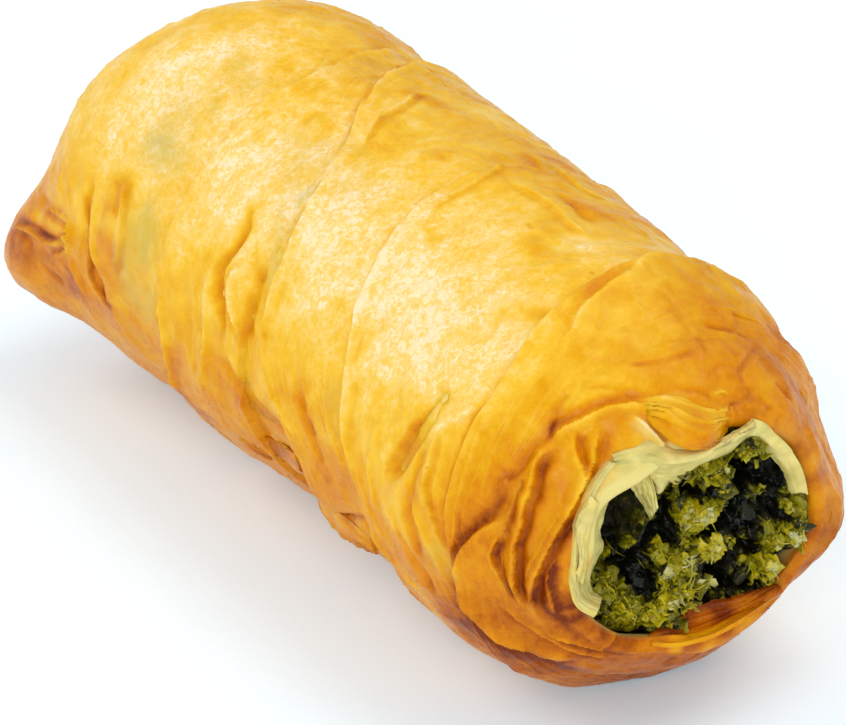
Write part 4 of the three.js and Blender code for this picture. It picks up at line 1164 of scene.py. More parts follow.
# The raw dough begins nearest the lip on the open side; the low side is baked.
OPEN_SIDE, OPEN_SPREAD = 165, 62
LOW_SIDE, LOW_SPREAD = 285, 42
LIP_BAKE = 0.72
TURN_COLUMNS = 660
STRIP_ROWS = 112
STRIP_UNDER_ROWS = 6
GROOVE_ROOM = 0.45  # mm by which the underside of a turn stays below the grooves of its relief
SHOULDER = 0.7  # mm over which the far edge of a turn comes down to what it lies on
JOINT_OVERLAP = 4  # degrees by which one turn reaches into the next
JOINT_SINK = 0.12  # mm by which it lies lower there
MM_PER_DEGREE = 0.433
EDGE_LAYERS = [(0.35, 7.0, 51), (0.14, 2.2, 52)]  # wandering of the far edge: mm, size in mm, seed


def core_lift(along):
    """Sunk under the winding, level at both ends."""
    sunk = smooth(along, CORE_SINK_START, CORE_SINK_FULL)
    return -CORE_SINK * (sunk - smooth(along, CORE_RISE_START, CORE_RISE_FULL))


def closed_end_mesh(sizes):
    """Rings from the far pole to END_CUT, each the crust with its fine relief, closed by a disc."""
    pole = FAR_CENTRE - ROLL_RADIUS * math.pi / 2
    along = mix(pole, END_CUT, (np.arange(1, END_ROWS + 1) / END_ROWS))[:, None]
    along, turn = np.broadcast_arrays(along, around(CORE_COLUMNS))
    height, bake, green, raw = crust_detail(along, turn, sizes)
    gather = smooth(along, pole, pole + GATHER_LENGTH)
    ring_points = crust(along, turn, core_lift(along) + height * gather)
    points = np.concatenate([
        ring_points.reshape(-1, 3), crust(pole, 0.0)[None], inner(END_CUT, 0.0, 0.0)[None]])
    quads = grid_quads(END_ROWS, CORE_COLUMNS, closed=True)
    looks = {
        "bake": np.concatenate([bake.ravel(), bake[0, :1], [0]]),
        "green": np.concatenate([green.ravel(), [0, 0]]),
        "raw": np.concatenate([raw.ravel(), [0, 0]]),
    }
    return points, [quads, *end_fans(CORE_COLUMNS, END_ROWS * CORE_COLUMNS)], looks


def core_mesh(sizes):
    """Rings under the winding, over the open dome, round the lip, down the neck and round the hollow,
    closed at both ends by a point."""
    turn = around(CORE_COLUMNS)
    lip = lip_along(turn)
    covered = np.linspace(END_CUT - 1, COVERED_END, COVERED_ROWS)[:, None] + 0 * turn
    near = mix(COVERED_END + 1, lip, np.linspace(0, 1, NEAR_ROWS)[:, None])
    along = np.concatenate([covered, near])
    turns = np.broadcast_to(turn, along.shape)
    height, bake, green, raw = crust_detail(along, turns, sizes)
    outside = crust(along, turns, core_lift(along) + height)
    lip_x = crust(lip, turn)[..., 0]
    arc = np.linspace(0, math.pi, LIP_STEPS)[1:-1, None]
    nose = LIP_THICKNESS / 2
    lip_ring = inner(lip_x + LIP_NOSE * np.sin(arc), turn, mouth_radius(turn) + nose + nose * np.cos(arc))
    neck_x = mix(lip_x, CAVITY_WIDENS_BY, np.linspace(0, 1, NECK_ROWS)[:, None])
    neck = inner(neck_x, turn, neck_radius(neck_x, turn))
    neck_noise = grain(neck.reshape(-1, 3), 3.0, 41).reshape(neck.shape[:2])
    neck = inner(neck_x, turn, neck_radius(neck_x, turn) + NECK_LUMP * neck_noise)
    tube_end = CAVITY_FAR_END + CAVITY_RADIUS
    angle = np.linspace(0, math.pi / 2, CAVITY_ROWS + 1)[:-1, None]
    back = inner(tube_end - CAVITY_RADIUS * np.sin(angle), turn, CAVITY_RADIUS * np.cos(angle))
    rings = np.concatenate([outside, lip_ring, neck, back])
    points = np.concatenate([
        rings.reshape(-1, 3), inner(END_CUT - 1, 0.0, 0.0)[None], inner(CAVITY_FAR_END, 0.0, 0.0)[None]])
    extra = len(rings) - len(along)
    step = np.arange(extra)[:, None] + 0 * turn
    dough_side = window(turn, *DOUGH_TURNS)
    raw = np.maximum(raw, dough_side * dough_on_dome(outside, along, turn))
    open_side = bell(turned(turn, OPEN_SIDE) / OPEN_SPREAD)
    low_side = bell(turned(turn, LOW_SIDE) / LOW_SPREAD)
    inside = smooth(step, mix(7, 3, open_side), mix(14, 7, open_side)) * (1 - 0.9 * low_side)
    inside = np.maximum(inside, dough_side)
    spots = grain(rings[-extra:].reshape(-1, 3), 1.6, 42).reshape(step.shape)
    lip_bake = mix(bake[-1:], LIP_BAKE + 0.16 * spots, low_side) + 0.08 * spots
    looks = {
        "bake": np.concatenate([np.concatenate([bake, lip_bake]).ravel(), [0, 0]]),
        "green": np.concatenate([np.concatenate([green, 0 * step]).ravel(), [0, 0]]),
        "raw": np.concatenate([np.concatenate([raw, inside]).ravel(), [1, 1]]),
    }
    body = grid_quads(len(rings), CORE_COLUMNS, closed=True)
    return points, [body, *end_fans(CORE_COLUMNS, len(rings) * CORE_COLUMNS)], looks


def dough_on_dome(outside, along, turn):
    """How raw the open dome is where dough folds over it: patchy, up to a ragged edge whose distance from
    the roll's middle line changes with the turn, and fading away from the mouth."""
    reach = np.hypot(outside[..., 1] - AXIS_DRIFT * outside[..., 0], outside[..., 2] - AXIS_HEIGHT)
    edge = mix(DOUGH_REACH, DOUGH_REACH_TOP, smooth(turn, 118, 132)) - DOUGH_DRAWN_IN * smooth(turn, 152, 176)
    flat = outside.reshape(-1, 3)
    ragged = 0.5 * grain(flat, 1.4, 43).reshape(reach.shape)
    patchy = 0.78 + 0.3 * grain(flat, 2.0, 44).reshape(reach.shape)
    return patchy * smooth(edge + ragged - reach, 0, 0.5) * smooth(along, 52, 54)


def turn_mesh(number, sizes):
    """One turn of the strip, a closed band carried round the roll. Across it the lift falls from its far
    edge as (1 - t) to the power CONE_POWER, with wrinkles that follow the edges, and the far edge comes
    down to the turn below over a short shoulder."""
    start = FIRST_TURN + 360 * number
    finish = FIRST_TURN + 360 * TURNS
    last = number == TURNS - 1
    turn = np.linspace(start - (JOINT_OVERLAP if number else 0),
                       start + 360 + (0 if last else JOINT_OVERLAP), TURN_COLUMNS)[:, None]
    far_edge = through(EDGE_PLACES, turn)
    next_edge = through(EDGE_PLACES, np.minimum(turn + 360, finish))
    if last:
        next_edge = np.full_like(turn, COLLAR_END)
    wobble = np.stack([turn * MM_PER_DEGREE, 0 * turn, 0 * turn + number], -1)
    far_edge = far_edge + layered(wobble, EDGE_LAYERS)
    width = (next_edge - far_edge) * (1 if last else UNDERLAP)
    t = np.linspace(0, 1, STRIP_ROWS)[None]
    t = mix(t ** 1.35, t, 0.5)
    along = far_edge + width * t
    turns = np.broadcast_to(turn, along.shape)
    fade = window(turn, (FIRST_TURN, FIRST_TURN + FADE_TURN), (finish - FADE_TURN, finish))
    cone = EDGE_LIFT * (1 - t) ** CONE_POWER - TAIL_SINK * t
    shoulder = smooth((along - far_edge) / SHOULDER, 0, 1) ** 0.6
    cone = mix(-TAIL_SINK * 0.75, cone, mix(shoulder, 1, 0.35))
    folds = strip_folds(turns, along - far_edge, t, number)
    height, bake, green, raw = crust_detail(along, turns, sizes)
    height = height + sizes.wrinkle / MM * folds * window(t, (0.01, 0.08), (0.93, 1.0))
    joint = np.where((turn < start) | (turn > start + 360), JOINT_SINK, 0)
    level = mix(-CORE_SINK, cone, fade) - joint
    lift = level + height * (0.35 + 0.65 * fade)
    top = crust(along, turns, lift)
    # Darker along the far edge's shoulder; the wrinkles' crests are paler and their hollows darker, partly
    # painted highlight and shade.
    bake = bake + 0.05 * bell((along - far_edge) / SHOULDER) - 0.04 * folds
    pick = np.linspace(STRIP_ROWS - 1, 0, STRIP_UNDER_ROWS).astype(int)
    under_lift = mix(lift, level - GROOVE_ROOM, smooth(t, 0.01, 0.1)) - sizes.sheet / MM
    under = crust(along[:, pick], turns[:, pick], under_lift[:, pick])
    loops = np.concatenate([top, under], axis=1)
    ring = loops.shape[1]
    quads = grid_quads(TURN_COLUMNS, ring, closed=True, flip=True)
    ends = [np.arange(ring)[None, :], (np.arange(ring)[None, ::-1] + (TURN_COLUMNS - 1) * ring)]
    looks = {
        name: np.concatenate([field, field[:, pick]], axis=1)
        for name, field in (("bake", bake), ("green", green), ("raw", raw))}
    return loops.reshape(-1, 3), [quads, *ends], looks


def strip_folds(turns, from_edge, t, number):
    """Height of the wrinkles that follow a turn's edges: crests of noise drawn out round the roll, over
    places given by the way round, the distance from the far edge and the share across."""
    strip = np.stack([np.radians(turns) * ROLL_RADIUS / 16, from_edge / 1.5,
                      t * 9 + 7 * number + 0 * turns], -1).reshape(-1, 3)
    bend = grain(strip * np.array([0.7, 0.12, 0.4]), 1.0, 53)[:, None] * np.array([0, 2.4, 1.0])
    broad = ridges(strip + bend, 1.0, 54)
    fine = ridges(strip * np.array([1.3, 0.5, 0.5]) + bend, 1.0, 55)
    swell = grain(strip * np.array([1.0, 0.3, 0.3]), 1.0, 56)
    return (broad + 0.6 * fine - 0.45 + 0.5 * swell).reshape(from_edge.shape)


# ---- Operators ----------------------------------------------------------------------------------


class BOREK_OT_crust(bpy.types.Operator):
    """Build the closed end and the body under the winding"""
    bl_idname = "borek.crust"
    bl_label = "Crust"

    def execute(self, context):
        sizes = context.scene.borek_sizes
        crust_finish = finish_named("baked_crust", baked_crust)
        core = make_piece("crust_core", *core_mesh(sizes), crust_finish)
        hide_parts("pastry")
        end = make_piece("closed_end", *closed_end_mesh(sizes), crust_finish)
        return {"FINISHED"}


class BOREK_OT_winding(bpy.types.Operator):
    """Wind the strip of dough round the roll, one piece for each turn"""
    bl_idname = "borek.winding"
    bl_label = "Winding"

    def execute(self, context):
        sizes = context.scene.borek_sizes
        for number in range(TURNS):
            finish = finish_named("baked_crust", baked_crust)
            piece = make_piece(f"wrap_{number + 1}", *turn_mesh(number, sizes), finish)
        return {"FINISHED"}


# ---- Sheets at the mouth, at the closed end and low on the side ---------------------------------

# Every line of a sheet is given by where it is: pixels of the photograph on the crust at a lift
# ("crust"), pixels at a depth x ("depth"), or places along and turn at a lift ("place"). The lift is one
# for the line or one for each of its points.
# Sheets: name, (rows, columns), thickness and raggedness in mm, baking at the first and last line with
# one between them or none, rawness at the first and last line, and the lines from the free edge to the
# root.
SHEETS = [
    ("tongue", (64, 160), 0.5, 0.03, (0.78, 0.6, 0.45), (0, 0), [
        ("crust", (-1.0, -0.1, 0.2, 0.2, 0.2, 0.1, -1.2),
         [(648, 417), (662, 432), (676, 442), (690, 447), (703, 448), (714, 442), (724, 432)]),
        ("crust", (-1.1, 0.5, 1.4, 1.6, 1.5, 0.7, -1.2),
         [(646, 414), (660, 426), (675, 438), (690, 445), (704, 446), (715, 440), (725, 428)]),
        ("crust", (-1.2, 0.8, 2.0, 2.3, 2.1, 0.9, -1.2),
         [(642, 411), (660, 418), (676, 428), (692, 436), (706, 438), (716, 432), (726, 423)]),
        ("crust", (-1.2, 0.5, 1.6, 1.9, 1.7, 0.7, -1.2),
         [(636, 408), (656, 410), (675, 416), (692, 424), (707, 428), (718, 424), (728, 418)]),
        ("crust", (-1.2, 0.1, 0.8, 1.0, 0.8, 0.1, -1.2),
         [(630, 404), (652, 402), (674, 405), (692, 410), (708, 415), (719, 415), (730, 412)]),
        ("crust", -0.8, [(626, 400), (650, 395), (674, 395), (692, 398), (708, 403), (720, 405), (732, 406)]),
    ]),
    ("dough_band", (60, 220), 0.4, 0.55, (0.1, 0.2), (1, 0.9), [
        ("depth", 58.8, [(621, 466), (629, 470), (632, 479), (638, 484), (643, 477), (649, 475), (654, 482),
                         (659, 494), (664, 487), (670, 481), (676, 484), (684, 478), (692, 480), (699, 470),
                         (705, 470), (712, 462), (722, 460), (729, 455), (738, 452), (742, 444), (748, 440)]),
        ("depth", 60.6, [(618, 461), (632, 465), (645, 468), (658, 475), (674, 474), (692, 468), (706, 461),
                         (718, 455), (730, 449), (740, 441), (750, 436)]),
        ("crust", 0.45, [(614, 460), (632, 457), (646, 457), (662, 462), (680, 461), (698, 457), (714, 450),
                         (730, 442), (742, 434), (754, 428)]),
        ("crust", -0.4, [(612, 456), (630, 450), (646, 441), (658, 440), (672, 448), (690, 450), (706, 446),
                         (722, 439), (738, 431), (756, 420)]),
    ]),
    ("dough_tongue", (40, 90), 0.35, 0.25, (0.05, 0.15), (1, 1), [
        ("depth", 57.2, [(622, 464), (627, 482), (637, 497), (651, 520)]),
        ("depth", 58.8, [(630, 462), (637, 476), (645, 492), (654, 513)]),
        ("depth", 59.8, [(640, 460), (648, 474), (654, 489), (657, 508)]),
    ]),
    ("rim_outer", (44, 200), 0.22, 0.9, (0.02, 0.3), (1, 0.7), [
        ("depth", 59.8, [(625, 459), (619, 468), (616, 481), (607, 485), (604, 497), (606, 508), (599, 519),
                         (594, 533), (590, 550), (586, 566), (584, 580), (588, 592), (600, 598)]),
        ("depth", 61.4, [(620, 461), (614, 471), (610, 480), (602, 487), (598, 499), (597, 511), (592, 522),
                         (588, 537), (585, 553), (582, 569), (581, 584), (586, 597), (600, 604)]),
        ("crust", 0.5, [(614, 463), (606, 472), (599, 483), (593, 494), (588, 506), (583, 518), (580, 532),
                        (578, 547), (577, 562), (576, 577), (577, 590), (584, 603), (598, 611)]),
        ("crust", -0.4, [(608, 461), (600, 470), (592, 481), (586, 492), (581, 504), (576, 517), (572, 531),
                         (570, 547), (569, 563), (568, 578), (570, 592), (578, 607), (594, 617)]),
    ]),
    ("rim_flap", (24, 70), 0.25, 0.3, (0.1, 0.3), (0.8, 0.6), [
        ("crust", 1.0, [(591, 496), (584, 508), (577, 520), (575, 532), (579, 546), (579, 560), (575, 572)]),
        ("crust", 0.9, [(595, 500), (589, 513), (584, 526), (582, 538), (583, 552), (582, 566), (579, 578)]),
        ("crust", -0.2, [(599, 504), (594, 518), (590, 532), (588, 546), (587, 560), (585, 574), (582, 586)]),
    ]),
    ("rim_inner", (40, 200), 0.2, 1.1, (0.0, 0.2), (1, 1), [
        ("depth", 58.2, [(613, 486), (609, 500), (607, 512), (603, 524), (599, 536), (602, 546), (598, 556),
                         (592, 568), (590, 580), (594, 590), (606, 594)]),
        ("depth", 60.2, [(608, 480), (602, 496), (600, 512), (595, 524), (590, 538), (587, 552), (584, 566),
                         (582, 580), (586, 594), (600, 602)]),
        ("depth", 59.6, [(602, 476), (596, 492), (592, 508), (586, 524), (581, 540), (577, 556), (575, 572),
                         (575, 588), (584, 602), (598, 610)]),
    ]),
    ("dough_right", (24, 90), 0.5, 0.25, (0.1, 0.2), (1, 1), [
        ("depth", 60.6, [(741, 440), (752, 438), (762, 446), (771, 456), (780, 466), (786, 478), (790, 492)]),
        ("depth", 62.4, [(748, 428), (758, 430), (769, 439), (780, 450), (790, 462), (796, 476), (800, 492)]),
        ("depth", 62.4, [(752, 418), (763, 422), (774, 432), (786, 445), (797, 459), (804, 476), (808, 494)]),
    ]),
    ("inner_layer", (44, 150), 0.5, 0.3, (0.92, 0.84, 0.66), (0, 0), [
        ("depth", 61.0, [(650, 635), (668, 622), (686, 609), (706, 602), (728, 598), (750, 592), (774, 582)]),
        ("depth", 62.0, [(650, 638), (672, 631), (694, 621), (716, 613), (738, 604), (758, 596), (778, 586)]),
        ("depth", 62.4, [(650, 641), (676, 638), (700, 631), (724, 621), (746, 610), (764, 600), (782, 589)]),
        ("crust", 0.2, [(652, 645), (680, 644), (706, 638), (730, 627), (752, 614), (770, 602), (785, 592)]),
    ]),
    ("side_flap_a", (30, 120), 0.35, 0.12, (0.82, 0.66), (0, 0), [
        ("place", (0.1, 0.9, 1.2, 0.9, 0.2), [(10.5, 211), (12.5, 217), (16, 219), (20, 218), (24, 216)]),
        ("place", (0.2, 1.0, 1.3, 0.9, 0.2),
         [(10.8, 209), (13.2, 213), (16.5, 214.5), (20.5, 213.5), (24.5, 213)]),
        ("place", (-0.4, 0.0, 0.0, -0.1, -0.4),
         [(11.5, 204), (14.5, 206), (17.5, 206.5), (21, 206), (24.8, 208)]),
    ]),
    ("side_flap_b", (24, 110), 0.3, 0.1, (0.8, 0.7), (0, 0), [
        ("place", (-0.1, 0.35, 0.5, 0.4, 0.0), [(-7, 212), (-3, 214), (1, 214), (5, 212), (8.5, 208)]),
        ("place", (0.0, 0.3, 0.35, 0.3, 0.0), [(-7, 208), (-3, 209), (1, 209), (5, 207), (8.5, 204)]),
        ("place", (-0.5, -0.2, -0.2, -0.2, -0.5), [(-7, 203), (-3, 203), (1, 203), (5, 201), (8.5, 199)]),
    ]),
]


STRIATION = 0.3  # height in mm of the wrinkles along a sheet
SHEET_SEED, SEEDS_EACH = 300, 7


def sheet_line(kind, value, places):
    """Points of one line of a sheet, found in the way that its kind says."""
    places = np.array(places, float)
    value = np.asarray(value, float) + 0 * places[:, 0]
    if kind == "place":
        return crust(places[:, 0], places[:, 1], value)
    if kind == "depth":
        return seen(places[:, 0], places[:, 1], value)
    along, turn = seen_on_crust(places[:, 0], places[:, 1], value)
    return crust(along, turn, value)


def sheet_piece(name, lines, grid, thickness, rag, bakes, raws, seed):
    """A closed sheet through its lines, wrinkled along its edge by noise stretched that way, with a
    ragged and thinner free edge at its first line."""
    rows, columns = grid
    surface = loft(lines, rows, columns)
    v = np.linspace(0, 1, rows)[:, None]
    length = np.linalg.norm(np.diff(surface[0], axis=0), axis=1).sum()
    depth = np.linalg.norm(np.diff(surface[:, columns // 2], axis=0), axis=1).sum()
    u = np.linspace(0, length, columns)[None] + 0 * v
    spots = np.stack([u / 9, v * depth / 0.9 + 0 * u, 0 * u + seed * 3.7], -1)
    spots = spots + 0.35 * grain(surface * 0.22 + seed, 1.0, seed + 90)[..., None]
    folds = ridges(spots, 1.0, seed + 91) - 0.3 + 0.6 * grain(surface, 2.6, seed + 92)
    striation = STRIATION * folds * (0.4 + 0.6 * window(v, (0, 0.12), (0.85, 1)))
    surface = surface + sheet_normals(surface) * striation[..., None]
    outward = unit(surface[:1] - surface[2:3])
    bite = layered(surface[:1], [(1, 1.3, seed + 93), (0.7, 0.55, seed + 94)])
    surface = surface + outward * (rag * bite)[..., None] * ((1 - v) ** 8)[..., None]
    thick = thickness * mix(0.45, 1.0, smooth(v, 0, 0.2)) + 0 * u
    points, quads = sheet_mesh(surface, thick)
    bake = mix(bakes[0], bakes[-1], smooth(v, 0.0, 0.9))
    if len(bakes) == 3:
        first_half = mix(bakes[0], bakes[1], smooth(v, 0, 0.4))
        bake = np.where(v < 0.4, first_half, mix(bakes[1], bakes[2], smooth(v, 0.4, 0.9)))
    # The wrinkles' crests are paler and their hollows darker: partly painted highlight and shade.
    bake = bake - 0.16 * folds + layered(surface, [(0.1, 2.2, seed + 95), (0.08, 5, seed + 96)])
    mottling = 0.25 * (raws[0] > 0) * grain(surface, 1.6, seed + 97)
    raw = np.clip(mix(raws[0], raws[1], v) + mottling, 0, 1)
    thin = 0.28 + layered(surface, [(0.5, 1.9, seed + 98), (0.35, 0.7, seed + 99)]) + 0.3 * (1 - v) ** 2
    fields = {"bake": np.clip(bake, 0, 1), "raw": raw, "green": np.clip(raw * thin, 0, 1)}
    looks = {key: np.tile(np.ravel(field), 2) for key, field in fields.items()}
    piece = make_piece(name, points, [quads], looks, finish_named("baked_crust", baked_crust))
    return piece


class BOREK_OT_sheets(bpy.types.Operator):
    """Lay the curled, torn and folded sheets: the tongue, the raw rims and the flaps"""
    bl_idname = "borek.sheets"
    bl_label = "Sheets"

    def execute(self, context):
        for number, (name, grid, thickness, rag, bakes, raws, lines) in enumerate(SHEETS):
            placed = [sheet_line(*line) for line in lines]
            seed = SHEET_SEED + SEEDS_EACH * number
            sheet_piece(name, placed, grid, thickness, rag, bakes, raws, seed)
        return {"FINISHED"}


# ---- Filling --------------------------------------------------------------------------------------

FILLING_COLUMNS = 420
FRONT_RINGS = 150
FILLING_TUBE_ROWS = 8
FILLING_END_ROWS = 9
TUBE_START, TUBE_FINISH = -30, 41
TUBE_TONE, TIP_TONE = 0.3, 0.5
CLUMP_LAYERS = [(0.5, 3.2, 64), (0.55, 1.7, 65), (0.4, 0.9, 66)]
LEAF_GRID = (5, 6)
LEAF_HALF = 0.07  # half the thickness of a scrap in mm
LEAF_RISE, FIBRE_RISE = 0.25, 0.45  # mm by which they stand forward
LEAF_SIZES = (0.3, 1.25)  # half a scrap's length in mm
LEAF_WIDTH = 0.7  # its width as a share of that
LEAF_BEND = 0.45
CRUMB_GRID = (6, 7)
CRUMB_SIZES = (0.1, 0.36)  # a crumb's radius in mm
CRUMB_DENTS = (0.5, 1.4)
CRUMB_STRETCH = (0.6, 1.5)
FIBRE_STEPS = 8
FIBRE_LENGTHS = (0.5, 1.7)  # half a fibre's length in mm
FIBRE_CURLS = (-0.8, 0.8)
FIBRE_RADII = (0.05, 0.11)
TRIES = 3  # places tried for each one wanted
FRONT_SHARE = 0.9  # share of the front on which they may lie
GAP_CHANCE = 0.04  # their chance to lie in a gap, where the tone is below the first of GAP_TONES
GAP_TONES = (0.12, 0.5)
TEAR_DEPTH = 0.8  # how far a low place is torn open, in clump heights
# Low places are painted darker as shade, high ones lighter.
MIDDLE_TONE, TONE_RISE = 0.33, 0.3  # tone at the middle height and its rise with a clump's height
MARK_WANDER = 0.42


def front_point(turn, share, push=0.0):
    """The filling's front: behind the lip, dished and hollowed, with slow waves across it, and moved
    forward by push."""
    away = mouth_radius(turn) * share
    y = away * np.cos(np.radians(turn))
    z = away * np.sin(np.radians(turn))
    hollow_away = np.hypot(y - HOLLOW_CENTRE[0], z - HOLLOW_CENTRE[1]) / HOLLOW_RADIUS
    hollow = HOLLOW_DEPTH * np.exp(-(hollow_away ** 3))
    dish = FRONT_DISH * (away / MOUTH_HALF_WIDTH) ** 2
    waves = sum(s * np.cos(per_y * y + per_z * z + phase) for s, per_y, per_z, phase in FRONT_WAVES)
    forward = FRONT_FORWARD + FRONT_RIGHT * smooth(y, -9, 9) + FRONT_LOW * smooth(-z, 2, 10)
    x = FRONT_PLACE + forward - (hollow + 0.5 * dish - FRONT_LUMP * waves)
    return inner(x + push, turn, (neck_radius(x, turn) - FIT_GAP) * share)


def raised_front(turn, share, relief, sizes):
    """The front moved forward by its relief, which is less close to the dough."""
    edge = 1 - 0.6 * smooth(share, 0.86, 1.0)
    return front_point(turn, share, sizes.clump / MM * relief * edge)


def front_look(points):
    """Height in clumps and tone of the chopped leaf. Soft noise, with a finer one on it, is torn open where
    it is low, and the tone falls with the height, so that low places and gaps are painted dark as shade; the
    traced marks add their bells, measured after each point is moved along the camera's direction to
    MARK_DEPTH, painting shade into gaps and highlights onto crests and glints; the hollow is smoothed and
    painted dark as shade."""
    bends = points + bent(points, 2.4, 61)[:, [0, 1, 0]] * 0.9
    soft = layered(bends, CLUMP_LAYERS) + 0.25 * grain(points, 0.45, 67)
    torn = soft - TEAR_DEPTH * smooth(-soft, 0.1, 0.6)
    height, tone = CLUMP_SHARE * torn, MIDDLE_TONE + TONE_RISE * torn
    back = camera_axes()[2]
    shake = MARK_WANDER * shaken(points, 1.6, 0.6, 71)
    flat = points + back * ((MARK_DEPTH - points[:, 0]) / back[0])[:, None] + shake
    for rise, light, width, pixels in FRONT_MARKS:
        line = stepped(seen(*np.transpose(pixels), MARK_DEPTH))
        near, away, _ = beside_line(flat, np.broadcast_to(back, flat.shape), line)
        shape = bell(0.72 * away / width)
        height[near] += rise * shape
        tone[near] += light * shape * (1 + 0.5 * soft[near])
    # The hollow is smoothed and painted darker as shade.
    hollow_calm_and_shade = hollow_share(points)
    return height * (1 - 0.8 * hollow_calm_and_shade), np.clip(tone, 0, 1) * (1 - 0.6 * hollow_calm_and_shade)


def hollow_share(points):
    """1 in the middle of the hollow beside the mouth's left rim, 0 outside it."""
    away = np.hypot(points[..., 1] - AXIS_DRIFT * points[..., 0] - HOLLOW_CENTRE[0],
                    points[..., 2] - AXIS_HEIGHT - HOLLOW_CENTRE[1])
    return 1 - smooth(away / HOLLOW_RADIUS, 0.7, 1.3)


def filling_mesh(sizes):
    """Rings of the round far end, the tube and the clumped front, closed at both ends by a point."""
    turn = around(FILLING_COLUMNS)
    radius = CAVITY_RADIUS - FIT_GAP
    tube_end = CAVITY_FAR_END + CAVITY_RADIUS
    angle = np.linspace(math.pi / 2, 0, FILLING_END_ROWS)[1:, None]
    back = inner(tube_end - radius * np.sin(angle), turn, radius * np.cos(angle))
    tube = inner(np.linspace(TUBE_START, TUBE_FINISH, FILLING_TUBE_ROWS)[:, None], turn, radius)
    share = np.linspace(1, 0, FRONT_RINGS + 1)[:-1, None]
    share, turns = np.broadcast_arrays(share, turn)
    plain = front_point(turns, share)
    relief, tone = (field.reshape(share.shape) for field in front_look(plain.reshape(-1, 3)))
    front = raised_front(turns, share, relief, sizes)
    rings = np.concatenate([back, tube, front])
    tip = front[-1].mean(0)
    points = np.concatenate([
        rings.reshape(-1, 3), inner(CAVITY_FAR_END + FIT_GAP, 0.0, 0.0)[None], tip[None]])
    plain_tone = np.full((len(rings) - len(front), FILLING_COLUMNS), TUBE_TONE)
    fresh = np.concatenate([np.concatenate([plain_tone, tone]).ravel(), [TUBE_TONE, TIP_TONE]])
    body = grid_quads(len(rings), FILLING_COLUMNS, closed=True)
    return points, [body, *end_fans(FILLING_COLUMNS, len(rings) * FILLING_COLUMNS)], {"fresh": fresh}


def front_spots(random, wanted, sizes):
    """Random places all over the front, thinned out in the gaps, with the surface's tone there."""
    tried = wanted * TRIES
    turn = random.uniform(0, 360, tried)
    share = np.sqrt(random.uniform(0, FRONT_SHARE, tried))
    plain = front_point(turn, share)
    relief, tone = front_look(plain)
    chance = (1 - hollow_share(plain)) * mix(GAP_CHANCE, 1, smooth(tone, *GAP_TONES))
    keep = np.flatnonzero(random.uniform(0, 1, tried) < chance)[:wanted]
    return raised_front(turn[keep], share[keep], relief[keep], sizes), tone[keep]


def random_axes(random, count, forward=0.0):
    """Count turned sets of axes, the third leaning towards +X by the share forward."""
    third = unit(random.normal(size=(count, 3)) + np.array([forward, 0, 0]))
    first = unit(np.cross(third, random.normal(size=(count, 3))))
    return np.stack([first, np.cross(third, first), third], 1)


def standing(spot, shape, axes):
    """Small shapes turned into their axes and put at their spots."""
    return spot[:, None] + np.einsum("npi,nij->npj", shape, axes)


def leaf_bits(random, sizes):
    """Small crumpled scraps of leaf: a closed lens over a grid, bent by x^2, y^2, xy and a wave."""
    spot, tone = front_spots(random, sizes.leaves, sizes)
    count = len(spot)
    rows, columns = LEAF_GRID
    v, u = np.meshgrid(np.linspace(-1, 1, rows), np.linspace(-1, 1, columns), indexing="ij")
    flat = np.stack([u, v, 0 * u], -1)
    outline_noise = 1 + 0.15 * random.uniform(-1, 1, (count, rows, columns, 1))
    bends = random.normal(size=(count, 4, 1, 1)) * LEAF_BEND
    wave = 0.25 * np.sin(4 * u[None] + 6 * bends[:, 3])
    rise = bends[:, 0] * u * u + bends[:, 1] * v * v + bends[:, 2] * u * v + wave
    surface = flat[None] * outline_noise
    surface = surface * random.uniform(*LEAF_SIZES, (count, 1, 1, 1)) * np.array([1.0, LEAF_WIDTH, 1.0])
    surface[..., 2] = rise * 0.5
    lens = 1 - 0.5 * np.maximum(np.abs(u), np.abs(v)) ** 2
    half = LEAF_HALF * lens[None, ..., None] * np.array([0, 0, 1])
    shell = np.stack([surface + half, surface - half], 1).reshape(count, -1, 3)
    points = standing(spot, shell, random_axes(random, count, 0.5)) + np.array([LEAF_RISE, 0, 0])
    side = rows * columns
    top = grid_quads(rows, columns)
    under = grid_quads(rows, columns, start=side, flip=True)
    quads = np.concatenate([top, under, rim_quads(rows, columns)])
    tone = np.clip(tone - 0.04 + 0.13 * random.normal(size=count), 0.02, 0.9)
    return points.reshape(-1, 3), [repeated(quads, count, 2 * side)], {"fresh": np.repeat(tone, 2 * side)}


def leaf_crumbs(random, sizes):
    """Small crumbs: closed rings between two poles, each point pushed in or out at random."""
    spot, tone = front_spots(random, sizes.crumbs, sizes)
    count = len(spot)
    rings, columns = CRUMB_GRID
    polar = np.linspace(0, math.pi, rings + 2)[1:-1, None]
    angle = np.radians(around(columns))
    ball = np.stack(np.broadcast_arrays(
        np.sin(polar) * np.cos(angle), np.sin(polar) * np.sin(angle), np.cos(polar)), -1).reshape(-1, 3)
    ball = np.concatenate([ball, [[0, 0, 1], [0, 0, -1]]])
    dents = random.uniform(*CRUMB_DENTS, (count, len(ball), 1))
    reach = dents * random.uniform(*CRUMB_SIZES, (count, 1, 1))
    stretch = random.uniform(*CRUMB_STRETCH, (count, 1, 3))
    points = standing(spot, ball[None] * reach * stretch, random_axes(random, count))
    body = grid_quads(rings, columns, closed=True, flip=True)
    caps = np.concatenate(end_fans(columns, rings * columns))[:, ::-1]
    tone = np.clip(tone + 0.12 * random.normal(size=count), 0.02, 1)
    polygons = [repeated(faces, count, len(ball)) for faces in (body, caps)]
    return points.reshape(-1, 3), polygons, {"fresh": np.repeat(tone, len(ball))}


